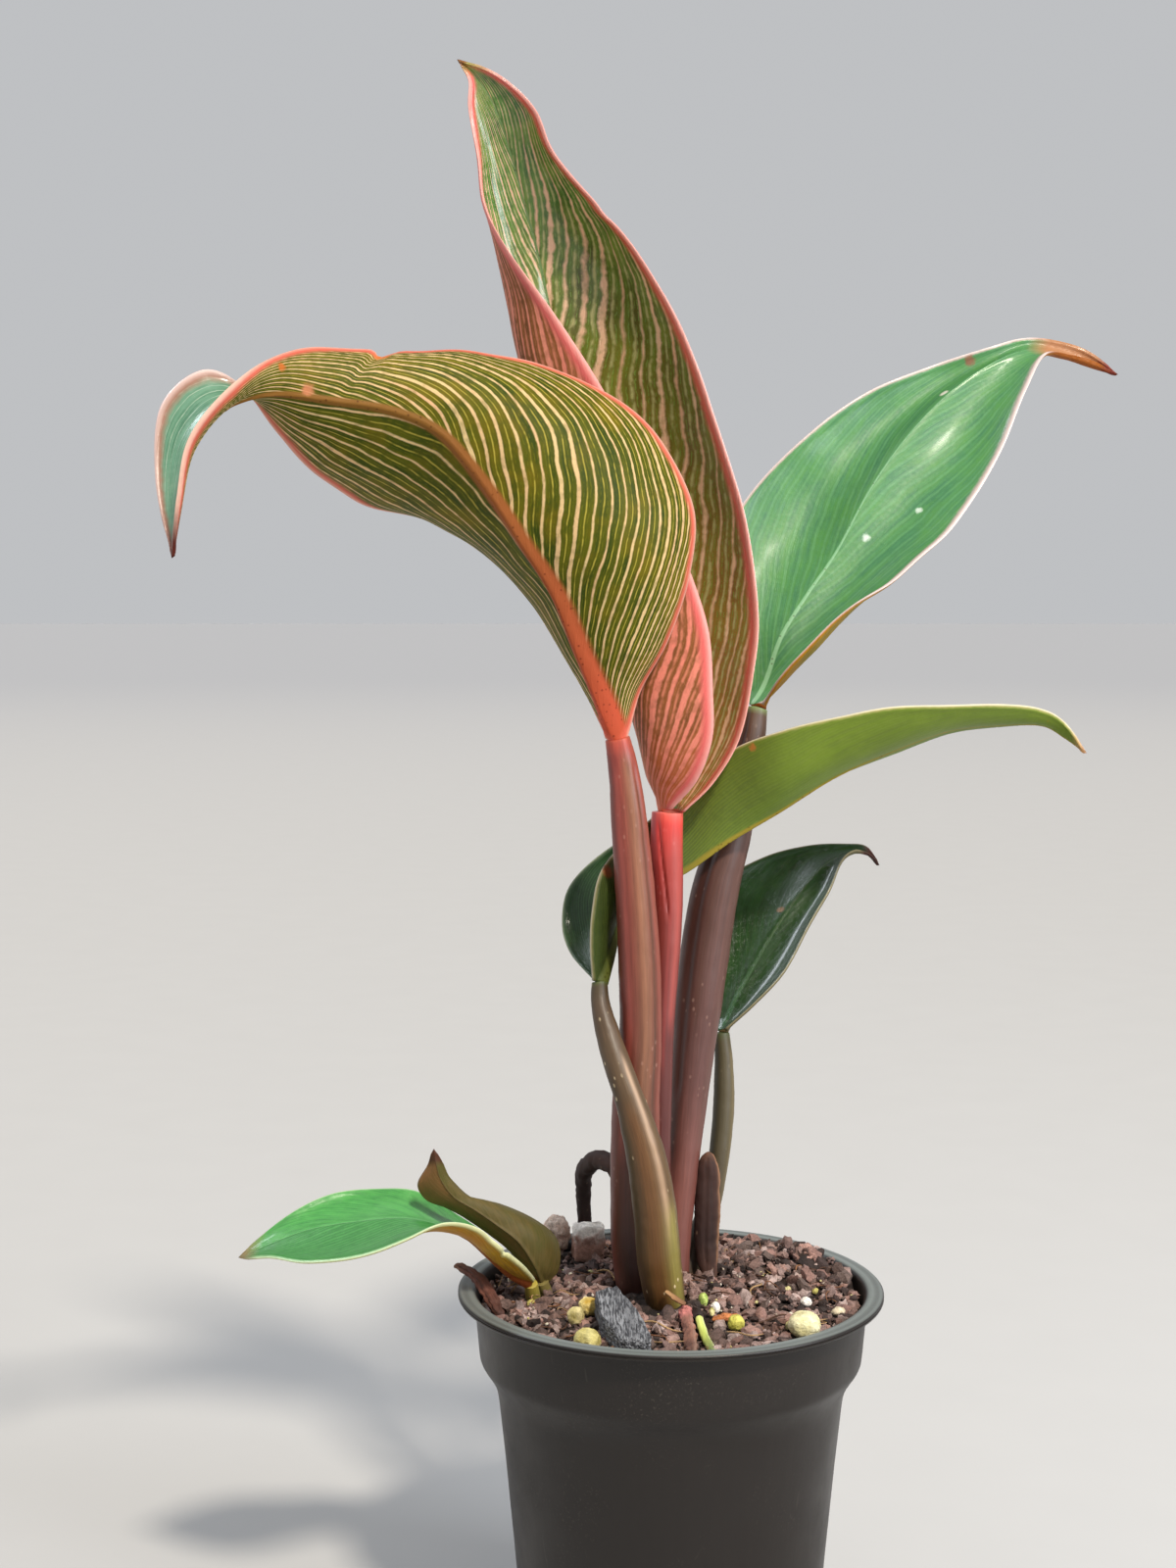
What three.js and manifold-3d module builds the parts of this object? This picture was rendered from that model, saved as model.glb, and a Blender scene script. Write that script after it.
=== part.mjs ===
// A variegated philodendron growing in a round plastic nursery pot.
// Millimetres, +Z up. The origin is the centre of the pot's underside and -Y is the front,
// the side that the arching leaf's underside faces.
import * as THREE from 'three';
import { mergeVertices } from 'three/addons/utils/BufferGeometryUtils.js';
import Module from 'manifold-3d';

const wasm = await Module();
wasm.setup();

// Driving dimensions
const gap = 0.3; // left between pieces that touch
const potHeight = 84.6;
const rimRadius = 48.7;
const lipWidth = 3.8;
const lipThickness = 1.7;
const baseRadius = 34;
const wall = 1.2;
const collarTopRadius = 45;
const collarRadius = 43.8; // at the collar's lower edge
const collarBottom = 69.2;
const bodyTopRadius = 39.8;
const bodyTop = 61.5; // below the shoulder under the collar
const holeRadius = 3;
const holeCircle = 24;
const holeCount = 8;
const soilEdge = 80.5; // height of the mix at the wall
const moundHeight = 4.5; // how much higher it stands round the stalks
const moundRadius = 20;
const mixRadius = 43;
const bladeThickness = 0.9;
const marginThickness = 0.6;
const stemTop = 83;

// Finishes
const finish = (color, roughness) => new THREE.MeshStandardMaterial({ color, roughness, metalness: 0 });
const finishes = {
  pot: finish('#24201e', 0.45),
  mix: finish('#4a3128', 0.95),
  striped: finish('#6f6a1f', 0.5),
  pinkStriped: finish('#b0685a', 0.5),
  green: finish('#5f9a6a', 0.4),
  darkGreen: finish('#2c5a34', 0.4),
  yellowGreen: finish('#7a8f2e', 0.5),
  olive: finish('#6a5a33', 0.6),
  redStalk: finish('#9a4f44', 0.5),
  oliveStalk: finish('#8d7645', 0.6),
  purpleStalk: finish('#6b4a45', 0.5),
  root: finish('#4b2f26', 0.8),
  paleRoot: finish('#b7b25a', 0.6),
  charcoal: finish('#3c3d40', 0.8),
  pebble: finish('#c9b45c', 0.7),
  perlite: finish('#e6e0d4', 0.9),
  rock: finish('#a79a92', 0.9),
  bark: finish('#6e4032', 0.9),
};

// Values between rows of numbers, on a smooth curve through them
function between(rows, share) {
  const place = THREE.MathUtils.clamp(share, 0, 1) * (rows.length - 1);
  const i = Math.min(Math.floor(place), rows.length - 2);
  const f = place - i;
  const from = rows[i];
  const to = rows[i + 1];
  const before = rows[i - 1] ?? from.map((v, k) => 2 * v - to[k]);
  const after = rows[i + 2] ?? to.map((v, k) => 2 * v - from[k]);
  return from.map((v, k) => {
    const leave = (to[k] - before[k]) / 2;
    const arrive = (after[k] - v) / 2;
    const bend = 2 * (v - to[k]) + leave + arrive;
    return v + f * (leave + f * (to[k] - v - leave - bend + f * bend));
  });
}

const point = (row, first = 0) => new THREE.Vector3(row[first], row[first + 1], row[first + 2]);

// Signed volume: negative when the faces point inwards
function volume(position, index) {
  const [a, b, c] = [new THREE.Vector3(), new THREE.Vector3(), new THREE.Vector3()];
  let sum = 0;
  for (let i = 0; i < index.length; i += 3) {
    a.fromBufferAttribute(position, index[i]);
    b.fromBufferAttribute(position, index[i + 1]);
    c.fromBufferAttribute(position, index[i + 2]);
    sum += a.dot(b.cross(c)) / 6;
  }
  return sum;
}

// Closed shape through rings of equally many points, closed by a fan to a point at each end
function loft(rings, first, last) {
  const around = rings[0].length;
  const points = [...rings.flat(), first, last];
  const index = [];
  for (let i = 0; i < rings.length - 1; i++) {
    for (let j = 0; j < around; j++) {
      const a = i * around + j;
      const b = i * around + (j + 1) % around;
      index.push(a, b, b + around, a, b + around, a + around);
    }
  }
  const start = rings.length * around;
  const end = start - around;
  for (let j = 0; j < around; j++) {
    const next = (j + 1) % around;
    index.push(start, next, j, start + 1, end + j, end + next);
  }
  const geometry = new THREE.BufferGeometry().setFromPoints(points);
  if (volume(geometry.attributes.position, index) < 0) {
    index.reverse();
  }
  geometry.setIndex(index);
  return geometry;
}

// Solids for joining and cutting
function solid(geometry) {
  const bare = geometry.clone();
  bare.deleteAttribute('normal');
  bare.deleteAttribute('uv');
  const merged = mergeVertices(bare, 1e-4);
  const mesh = new wasm.Mesh({
    numProp: 3,
    vertProperties: new Float32Array(merged.attributes.position.array),
    triVerts: new Uint32Array(merged.index.array),
  });
  return new wasm.Manifold(mesh);
}

const largest = (body) => body.decompose().sort((a, b) => b.volume() - a.volume())[0];

function cut(geometry, tools) {
  let body = solid(geometry);
  for (const tool of tools) {
    body = body.subtract(solid(tool));
  }
  return shell(largest(body));
}

function join(geometries) {
  let body = solid(geometries[0]);
  for (const other of geometries.slice(1)) {
    body = body.add(solid(other));
  }
  return shell(body);
}

function shell(body) {
  const mesh = body.getMesh();
  const geometry = new THREE.BufferGeometry();
  geometry.setAttribute('position', new THREE.BufferAttribute(mesh.vertProperties, 3));
  geometry.setIndex(new THREE.BufferAttribute(mesh.triVerts, 1));
  return geometry;
}

// Round stalk or root: rows of [x, y, z, radius]; flat squeezes it from front to back
function tube(rows, sides, extra = 0, flat = 1) {
  const steps = (rows.length - 1) * 2;
  const rings = [];
  const front = new THREE.Vector3(0, -1, 0);
  let side = new THREE.Vector3(1, 0, 0);
  for (let i = 0; i <= steps; i++) {
    const here = between(rows, i / steps);
    const ahead = point(between(rows, (i + 0.1) / steps)).sub(point(between(rows, (i - 0.1) / steps)));
    side = side.clone().sub(ahead.clone().multiplyScalar(side.dot(ahead) / ahead.lengthSq())).normalize();
    const deep = front.crossVectors(ahead, side).clone().normalize();
    const ring = [];
    for (let k = 0; k < sides; k++) {
      const turn = 2 * Math.PI * k / sides;
      const out = side.clone().multiplyScalar(Math.cos(turn) * (here[3] + extra));
      out.addScaledVector(deep, Math.sin(turn) * (here[3] * flat + extra));
      ring.push(point(here).add(out));
    }
    rings.push(ring);
  }
  return loft(rings, point(between(rows, 0)), point(between(rows, 1)));
}

// Rounded lump: a sphere stretched to its three half sizes, turned about Z, roughened by two waves
function lump([x, y, z], [halfX, halfY, halfZ], turn, rough, sides = 10) {
  const geometry = new THREE.SphereGeometry(1, sides, Math.round(sides * 0.7));
  const merged = solid(geometry);
  const result = shell(merged);
  const position = result.attributes.position;
  const spot = new THREE.Vector3();
  for (let i = 0; i < position.count; i++) {
    spot.fromBufferAttribute(position, i);
    const waves = Math.sin(3 * spot.x + 5 * spot.y + x) + Math.sin(4 * spot.z + 3 * spot.x + y);
    const swell = 1 + rough * waves;
    spot.multiplyScalar(swell);
    spot.set(spot.x * halfX, spot.y * halfY, spot.z * halfZ);
    spot.applyAxisAngle(new THREE.Vector3(0, 0, 1), turn);
    position.setXYZ(i, spot.x + x, spot.y + y, spot.z + z);
  }
  return result;
}

// Leaf blades. Each row goes one step from base to tip: a point of the midrib, one of the left margin
// and one of the right margin, as seen from above with the tip pointing away, then how far each half
// bulges to the underside.
const blades = {
  arching: [
    [-12.5, -6, 210.5, -10, -5, 211, -14.5, -5, 211, 0.5, 0.5],
    [-16.5, -10, 220.5, -7, -4, 221.5, -19.5, 4, 222, 2, 1.5],
    [-21, -15, 231, -0.8, -6, 233, -24.2, 12, 233, 4, 3],
    [-26, -20, 243, 3.8, -8, 247.5, -29.3, 18, 242, 6, 4],
    [-32.5, -25, 253, 4, -9, 262, -38, 18, 252.2, 7, 5],
    [-40.5, -30, 265, -4.8, -9, 278.6, -51.5, 9, 258.8, 7, 6],
    [-49.5, -36, 275.5, -20.5, -14, 288.5, -66, -4, 262, 6, 5],
    [-59, -41, 279.5, -41.5, -24, 293, -76.5, -20, 267.5, 4, 4],
    [-70.5, -45, 281, -62.5, -34, 292.5, -83.5, -33, 275.5, 3, 3],
    [-83, -48, 282, -78.5, -45, 291, -89.5, -40, 284.5, 2, 2],
    [-92.3, -51, 278.3, -89, -54, 283.8, -97.5, -42, 287.5, 1.5, 2],
    [-98, -54, 269.6, -97, -59, 273, -105.5, -45, 280, 1, 2],
    [-99.8, -56, 258.5, -99.8, -59, 261, -106, -50, 265.5, 0.5, 1],
    [-101.5, -56, 249, -101.5, -56.5, 249.5, -102, -55.5, 249.5, 0, 0],
  ],
  tall: [
    [0, 9, 192.5, 0.5, 4, 194, 3, 5, 193.5, 2, 1],
    [-1, 14, 199, 6, 0, 201, 9.5, 6, 199.5, 8, 2],
    [-2.5, 17, 208, 9, -3, 210.5, 15.5, 7, 209, 11, 3],
    [-4.5, 19, 220, 9, -4, 221, 18.5, 8, 221, 13, 4],
    [-7.5, 20, 234, 8, -4, 234.5, 20, 9, 235, 13, 4],
    [-11.5, 21, 249.5, 3.5, -4, 248.5, 19, 9, 248.5, 14, 4],
    [-16, 21, 265, -3.5, -4, 264.5, 16, 8, 264, 14.3, 4],
    [-20.5, 20, 280.5, -11.5, -3, 280.5, 11, 7, 279.5, 13.3, 4],
    [-25, 19, 295.5, -19, -2, 293.5, 5.5, 6, 294.5, 12, 4],
    [-28, 17, 309.5, -28, 0, 307, -0.5, 6, 307.5, 9, 4],
    [-30.5, 15, 321, -37, 2, 319, -8, 5, 319.5, 6, 4],
    [-33.5, 12, 331.5, -42, 3, 329.5, -16.5, 4, 329, 3.5, 3],
    [-36.5, 9, 342, -43.5, 4, 340.5, -26, 3, 340, 2, 2],
    [-39.5, 6, 350.5, -45.5, 4, 350.5, -30.5, 2, 349.5, 1, 1.5],
    [-43.5, 5, 357, -45.5, 4, 356.5, -38, 3, 357, 0.5, 0.5],
    [-48, 4, 361, -48, 4, 360.5, -47.5, 4, 361.5, 0, 0],
  ],
  broad: [
    [21, 28, 216, 20, 29, 216.5, 22.5, 26, 217, 0.3, 0.3],
    [24, 31, 223.5, 16, 33, 228.5, 26.5, 22, 224, 1, 3],
    [27.5, 34, 233, 13, 38, 243.5, 33, 22, 231.5, 2, 5],
    [34, 38, 243, 15, 44, 257.5, 43, 25, 239.5, 3, 5],
    [41.5, 42, 253.5, 23.5, 49, 271, 54, 30, 246, 4, 4],
    [50, 47, 268.5, 37.5, 54, 284.5, 65.6, 35, 255.6, 4, 4],
    [59, 52, 281, 52.5, 59, 294.5, 75.3, 42, 266.9, 4, 3],
    [69.5, 57, 292, 67.5, 63, 300.5, 83.2, 48, 280, 3, 3],
    [80.5, 61, 300, 82.5, 65, 305.5, 90, 55, 294.5, 2, 2],
    [91, 64, 304.5, 92.5, 67, 308, 95.5, 60, 303, 1, 1],
    [100, 65, 303.5, 101.5, 68, 307, 102, 62, 303, 1, 1],
    [108, 65, 300.5, 108, 67, 304.5, 107.5, 63, 302, 1, 1],
    [114.5, 64, 298.5, 114.5, 64.5, 299, 114.5, 63.5, 298.5, 0, 0],
  ],
  long: [
    [-16, -3, 155, -17.5, 0, 155, -18, -5, 156, 0.3, 0.3],
    [-14, 1, 161.5, -23, 9, 160, -18.5, -6, 164, 2, 1],
    [-12.5, 6, 167, -25, 15, 166.5, -18, -6, 172, 3, 2],
    [-9, 9, 172, -23, 18, 175, -16, -3, 180.5, 3, 3],
    [-3.5, 12.5, 175.5, -14, 18, 183.5, -10, 8, 186.5, 2, 1],
    [4, 14.5, 179, -1, 19, 190, 1.5, 15, 195.5, 1, 0],
    [14, 14, 186, 12, 17.5, 197.5, 13.5, 11, 206.5, 1, 1],
    [25.5, 14, 192.8, 25, 22, 203.5, 25.5, 5, 211.8, 2, 3],
    [38.5, 16, 200.6, 39, 32, 207.5, 37.5, 3, 214.9, 3, 3],
    [52, 18, 206.4, 53.5, 37, 210.5, 50, 3, 217.2, 3, 3],
    [65.5, 19, 211.2, 67, 36, 213, 63.5, 6, 217.5, 2, 2],
    [77.5, 19, 212.5, 78.5, 31, 214.5, 76.5, 11, 217.5, 1.5, 1.5],
    [87, 18, 212.5, 87.5, 25, 214.5, 85.5, 14, 216.5, 1, 1],
    [92.5, 17, 209.5, 93, 20, 212, 91.5, 15, 213.5, 0.5, 0.5],
    [97, 15, 206, 97, 15.5, 206.5, 97, 14.5, 206.5, 0, 0],
  ],
  dark: [
    [13, 24, 138.5, 12, 25, 139.5, 14, 22, 140, 0.2, 0.2],
    [16, 27, 145.5, 10, 31, 149.5, 20, 22, 145.5, 1, 1.5],
    [21, 31, 153.5, 9, 37, 161.5, 27.5, 24, 153, 2, 2],
    [27, 35, 162.5, 13.5, 43, 172, 33.5, 29, 162.5, 2, 2],
    [33.5, 39, 171, 24.5, 48, 178, 39.5, 34, 171, 2, 2],
    [39.5, 42, 177, 35.5, 48, 181, 43, 39, 178, 1, 1],
    [45.5, 44, 179.5, 45, 47, 181.5, 46.5, 42, 180.5, 0.5, 0.5],
    [50, 45, 179.5, 50, 46, 181, 50, 44, 179.5, 0.2, 0.2],
    [53, 44, 176.5, 53, 44.5, 177, 53, 43.5, 177, 0, 0],
  ],
  low: [
    [-32, -1, 85, -31, -3, 87, -31, 1, 85.5, 0.2, 0.2],
    [-36.5, -4, 88.5, -33.5, -9, 92, -33.5, 5, 85.5, 1, 1],
    [-41, -7, 93.5, -38, -14, 97.5, -39, 9, 89.5, 1.5, 1.5],
    [-46, -9, 98.5, -43.5, -18, 103, -43.5, 12, 93.5, 1.5, 1.5],
    [-52.5, -10, 101.5, -50.5, -24, 105.5, -50.5, 11, 98.5, 1.5, 1.5],
    [-60.5, -10, 103, -59, -27, 102.5, -58.5, 4, 105.5, 1, 1.5],
    [-70.5, -9, 102, -70, -26, 98.5, -67.5, 4, 106, 1, 1],
    [-81, -8, 100, -81, -21, 96, -78, 1, 105.5, 1, 1],
    [-89.5, -8, 97, -90, -14, 95, -87.5, -3, 101.5, 0.5, 0.5],
    [-98, -7, 93, -98, -7.5, 92.5, -98, -6.5, 93.5, 0, 0],
  ],
  small: [
    [-29.5, 3.5, 84, -27.5, 4.5, 84.5, -31.5, 4.5, 84.5, 0.3, 0.3],
    [-31.1, 1.5, 88.6, -25.5, 6, 87, -36, 4.5, 90.6, 1.2, 0.6],
    [-34.7, 0.5, 94.4, -26, 8, 92.5, -41.5, 5.5, 95.2, 2, 0.8],
    [-39.8, -0.5, 98.8, -31, 8, 97, -47, 4.5, 99.2, 2, 0.8],
    [-44.8, -2.5, 102.9, -39, 5, 101.5, -52, 1.5, 102.8, 1.6, 0.8],
    [-49.3, -5, 106.4, -45.5, 1, 104, -56, -2, 105.5, 1.2, 0.7],
    [-52.1, -7.5, 111.1, -50, -4, 110, -57.5, -5, 109.5, 0.5, 0.5],
    [-53, -9, 115, -51.5, -7, 114.5, -55, -7, 114.5, 0.2, 0.2],
    [-53.5, -9, 118.5, -53, -9, 118, -54, -9, 118, 0, 0],
  ],
};

// A point of one half of a blade and the direction that its upper side faces there.
// across runs from 0 at the midrib to 1 at the margin, and hand is -1 for the left half, 1 for the right.
function bladePoint(row, along, hand, across) {
  const midrib = point(row);
  const margin = point(row, hand < 0 ? 3 : 6);
  const bulge = row[hand < 0 ? 9 : 10];
  const chord = margin.clone().sub(midrib);
  const upward = chord.clone().cross(along).multiplyScalar(hand).normalize();
  const pull = midrib.clone().add(margin).multiplyScalar(0.5).addScaledVector(upward, -2 * bulge);
  const curve = new THREE.QuadraticBezierCurve3(midrib, pull, margin);
  const slope = pull.clone().sub(midrib).multiplyScalar(1 - across);
  slope.addScaledVector(margin.clone().sub(pull), across);
  const faces = slope.cross(along).multiplyScalar(hand).normalize();
  return { spot: curve.getPoint(across), faces };
}

// Blade as a thin closed shell; extra makes it that much thicker on each side, and longer at its base
function blade(rows, extra = 0) {
  const steps = (rows.length - 1) * 2;
  const half = 3;
  const tipShare = 0.975;
  const rings = [];
  for (let i = 0; i <= steps; i++) {
    const share = tipShare * i / steps;
    const row = between(rows, share);
    const along = point(between(rows, share + 0.01)).sub(point(between(rows, share - 0.01))).normalize();
    const upper = [];
    const lower = [];
    for (let j = -half; j <= half; j++) {
      const across = Math.abs(j) / half;
      const sides = j === 0 ? [-1, 1] : [Math.sign(j)];
      const places = sides.map((hand) => bladePoint(row, along, hand, across));
      const spot = places[0].spot;
      const faces = places.reduce((sum, place) => sum.add(place.faces), new THREE.Vector3()).normalize();
      const thick = THREE.MathUtils.lerp(bladeThickness, marginThickness, across) / 2 + extra;
      const shift = along.clone().multiplyScalar(i === 0 ? -extra : 0);
      upper.push(spot.clone().addScaledVector(faces, thick).add(shift));
      lower.unshift(spot.clone().addScaledVector(faces, -thick).add(shift));
    }
    rings.push([...upper, ...lower]);
  }
  const base = point(rows[0]).addScaledVector(point(rows[1]).sub(point(rows[0])).normalize(), -extra);
  return loft(rings, base, point(between(rows, 1)));
}

// Stalks, from the blade down into the mix: [x, y, z, radius]
const stalkSides = 12;
const stalks = {
  arching: [
    [-12.5, -6, 210, 2.9], [-11, -5.5, 203.5, 3.4], [-10, -5.5, 195, 3.9], [-8.5, -5, 178, 4.4],
    [-7.5, -4.5, 162.5, 4.7], [-7, -3.5, 144.5, 4.8], [-8, -2, 126.5, 5.4], [-8, -1, 110, 5.8],
    [-8, -1, 94, 5.6], [-7, -1, 83, 5], [-5, 0, 76, 4],
  ],
  tall: [
    [-0.8, 8, 192, 3.8], [-0.9, 8, 183.5, 3.8], [-0.7, 7.5, 170, 3.6], [-1.3, 6.5, 156, 3.2],
    [-2, 5.3, 143, 2.9], [-2.3, 4.8, 128, 2.7], [-2.2, 4.5, 108, 2.4], [-1.5, 4, 84, 2.2],
  ],
  broad: [
    [21, 28, 215.5, 2.9], [19, 26, 205, 3.8], [15.2, 23, 187, 4.7], [11.6, 21, 175, 5.5],
    [9.2, 19.5, 162, 5.8], [7.4, 17.5, 149, 5.6], [5.8, 15.5, 136, 5], [4.5, 13.8, 123, 4.4],
    [3.2, 12, 110, 4], [1.8, 9.8, 95, 3.6], [1, 7, 80, 3.5],
  ],
  long: [
    [-16.5, -3, 154.5, 1.9], [-16, -4.5, 150.5, 2.2], [-14.5, -7.5, 144.5, 2.7], [-12, -10.5, 137, 3.1],
    [-9, -12.5, 128.5, 3.5], [-6, -13, 117.5, 4.4], [-4, -12.5, 105.5, 4.9], [-3, -12, 94, 4.9],
    [-1.5, -10, 84, 4.4], [-1, -6, 77, 3.5],
  ],
  dark: [
    [13, 24, 138, 1.8], [13.5, 23, 131.5, 2.2], [13.5, 21.5, 123.5, 2.5], [12.5, 19, 112, 2.5],
    [10.5, 17, 101, 2.5], [8, 16, 93, 2.7], [4.5, 14, 84, 2.8], [2, 9, 77, 2.5],
  ],
  low: [[-32, -1, 84.5, 1.6], [-31.5, 1, 81, 1.7], [-30.5, 2.5, 74, 1.8]],
  small: [[-29.5, 3.5, 83.5, 1.5], [-28.5, 4.5, 80, 1.6], [-28.5, 4, 74, 1.8]],
};

const stalk = (name, extra = 0) => tube(stalks[name], stalkSides, extra);

// Short stem hidden in the mix with its roots, and the smaller one of the side shoot
const stemRows = [[-1, 1, 58, 4], [-1.5, 1.5, 66, 6.5], [-1.5, 2, 76, 6.5], [-1.5, 2, stemTop, 3.5]];
const sideStemRows = [[-29, 3, 66, 2], [-29, 3, 71, 3], [-29.5, 3, 75.5, 2]];
const rootRadius = 1.4;

function stem(extra = 0) {
  const roots = [20, 80, 140, 200, 260, 320].map((degrees, i) => {
    const angle = THREE.MathUtils.degToRad(degrees);
    const reach = [12, 20, 24];
    const drop = [66, 52, 26 + 4 * (i % 3)];
    const rows = [[-1, 1, 68, rootRadius * 1.3]];
    for (const [k, distance] of reach.entries()) {
      rows.push([distance * Math.cos(angle), distance * Math.sin(angle), drop[k], rootRadius]);
    }
    return tube(rows, 6, extra);
  });
  return join([tube(stemRows, stalkSides, extra), ...roots]);
}

const sideStem = (extra = 0) => tube(sideStemRows, 8, extra);

// Pot: turned wall with a rounded shoulder under its collar and a thin lip, drain holes round the base
function pot() {
  const inner = rimRadius - lipWidth;
  const profile = [
    [0, 0], [baseRadius - 1.5, 0], [baseRadius - 0.2, 1.3], [bodyTopRadius - 0.1, bodyTop - 1],
    [bodyTopRadius + 0.5, bodyTop + 1.5], [collarRadius - 1.2, collarBottom - 3],
    [collarRadius - 0.2, collarBottom - 0.8], [collarRadius, collarBottom],
    [collarTopRadius, potHeight - lipThickness],
    [rimRadius - 0.4, potHeight - lipThickness], [rimRadius, potHeight - lipThickness + 0.4],
    [rimRadius, potHeight - 0.5], [rimRadius - 0.5, potHeight],
    [inner + 0.3, potHeight], [inner - 0.3, potHeight - 0.6],
    [collarTopRadius - wall, potHeight - lipThickness - 0.6],
    [collarRadius - wall, collarBottom], [collarRadius - wall - 1.1, collarBottom - 2.6],
    [bodyTopRadius - wall, bodyTop + 0.5], [baseRadius - wall, 2.4],
    [baseRadius - wall - 1.2, wall], [0, wall],
  ];
  const body = new THREE.LatheGeometry(profile.map(([r, z]) => new THREE.Vector2(r, z)), 44);
  body.rotateX(Math.PI / 2);
  const holes = [];
  for (let i = 0; i < holeCount; i++) {
    const angle = 2 * Math.PI * (i + 0.5) / holeCount;
    const hole = new THREE.CylinderGeometry(holeRadius, holeRadius, 4 * wall, 12);
    hole.rotateX(Math.PI / 2);
    hole.translate(holeCircle * Math.cos(angle), holeCircle * Math.sin(angle), 0);
    holes.push(hole);
  }
  return cut(body, holes);
}

// Height of the mix: a mound round the stalks, higher ground at the back and low waves
function soilHeight(x, y) {
  const fromStem = Math.hypot(x + 2, y + 3);
  const mound = moundHeight * Math.exp(-((fromStem / moundRadius) ** 2));
  const back = 0.06 * Math.max(0, y) + 0.03 * Math.max(0, x);
  const waves = 0.5 * Math.sin(x / 4) * Math.sin(y / 3.5 + 1) + 0.35 * Math.sin((x + y) / 2.6);
  return soilEdge + mound + back + waves;
}

// Potting mix: fills the pot with its gap, lifted by extra at the top
function potFill(extra = 0) {
  const around = 36;
  const topRings = 9;
  const wallRings = [
    [baseRadius - wall - 1.5, wall + gap],
    [baseRadius - wall - 0.4, 2.8],
    [bodyTopRadius - wall - 0.6, bodyTop],
    [collarRadius - wall - 0.7, collarBottom + 0.4],
  ];
  const ring = (radius, height) => Array.from({ length: around }, (_, k) => {
    const angle = 2 * Math.PI * k / around;
    const [x, y] = [radius * Math.cos(angle), radius * Math.sin(angle)];
    return new THREE.Vector3(x, y, height ?? soilHeight(x, y) + extra);
  });
  const rings = wallRings.map(([radius, height]) => ring(radius, height));
  for (let i = 0; i < topRings; i++) {
    rings.push(ring(mixRadius * (1 - i / topRings)));
  }
  const bottom = new THREE.Vector3(0, 0, wall + gap);
  const top = new THREE.Vector3(0, 0, soilHeight(0, 0) + extra);
  return loft(rings, bottom, top);
}

// Loose things on the mix: each keeps its gap over the ground below it
const raisedSoil = potFill(gap);
const settled = (geometry) => cut(geometry, [raisedSoil]);

const aerialRootRows = [
  [-10, 2, 107, 2], [-13, 6.5, 110.5, 2.2], [-16.5, 13, 110.5, 2.2], [-19.6, 21, 106, 2.1],
  [-20, 28.5, 99.5, 1.9], [-19.8, 33.5, 91, 1.7], [-19.5, 34.5, 83, 1.6], [-19, 34.5, 76, 1.4],
];
const bractRows = [
  [9.5, 9, 83, 1.6], [8.9, 10, 90, 2.7], [9.1, 10.5, 101, 3], [9.2, 11, 109.5, 2.5], [9.2, 11, 112.7, 1.2],
];
const aerialRoot = (extra = 0) => tube(aerialRootRows, 10, extra);
const bract = (extra = 0) => tube(bractRows, 10, extra, 0.6);

// Root stub and green root, lying down the front of the mound on the mix
function lyingRoot(places, radius) {
  const rows = places.map(([x, y]) => [x, y, soilHeight(x, y) + radius * 0.8, radius]);
  return settled(tube(rows, 8));
}

// Split piece of charcoal, lying from front to back with its front end sunk in the mix
function charcoalChip() {
  const length = 25.5;
  const halfWidth = 4;
  const thickness = 4.5;
  const edge = 0.8;
  const tilt = 0.12;
  const turn = 0.22;
  const shape = new THREE.Shape();
  shape.moveTo(1 - halfWidth, 0);
  shape.lineTo(halfWidth - 1.5, 0.4);
  shape.lineTo(halfWidth, length * 0.5);
  shape.lineTo(halfWidth - 1, length);
  shape.lineTo(0.5 - halfWidth, length - 1);
  shape.lineTo(-halfWidth, length * 0.45);
  const chip = new THREE.ExtrudeGeometry(shape, {
    depth: thickness,
    bevelSize: edge,
    bevelThickness: edge,
    bevelSegments: 1,
  });
  chip.rotateX(tilt);
  chip.rotateZ(turn);
  chip.translate(-8.8, -39.5, soilEdge - 0.1);
  return settled(chip);
}

const barkStickRows = [
  [-49.5, 6, 87.5, 1], [-44.5, 0, 86.4, 1.5], [-41, -7, 83.9, 1.7], [-38.5, -13, 81.6, 1.2],
];

// Upright lump of rock behind the stalks, narrower where it stands in the mix
function backRock() {
  const [width, depth, height] = [7.8, 6, 9.5];
  const turn = 0.15;
  const rock = new THREE.BoxGeometry(width, depth, height, 2, 2, 2);
  const position = rock.attributes.position;
  for (let i = 0; i < position.count; i++) {
    const low = 0.5 - position.getZ(i) / height;
    position.setXY(i, position.getX(i) * (1 - 0.35 * low * low), position.getY(i) * (1 - 0.3 * low));
  }
  rock.rotateZ(turn);
  rock.translate(-18.8, 28, soilEdge + 5.9);
  return settled(rock);
}

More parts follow.
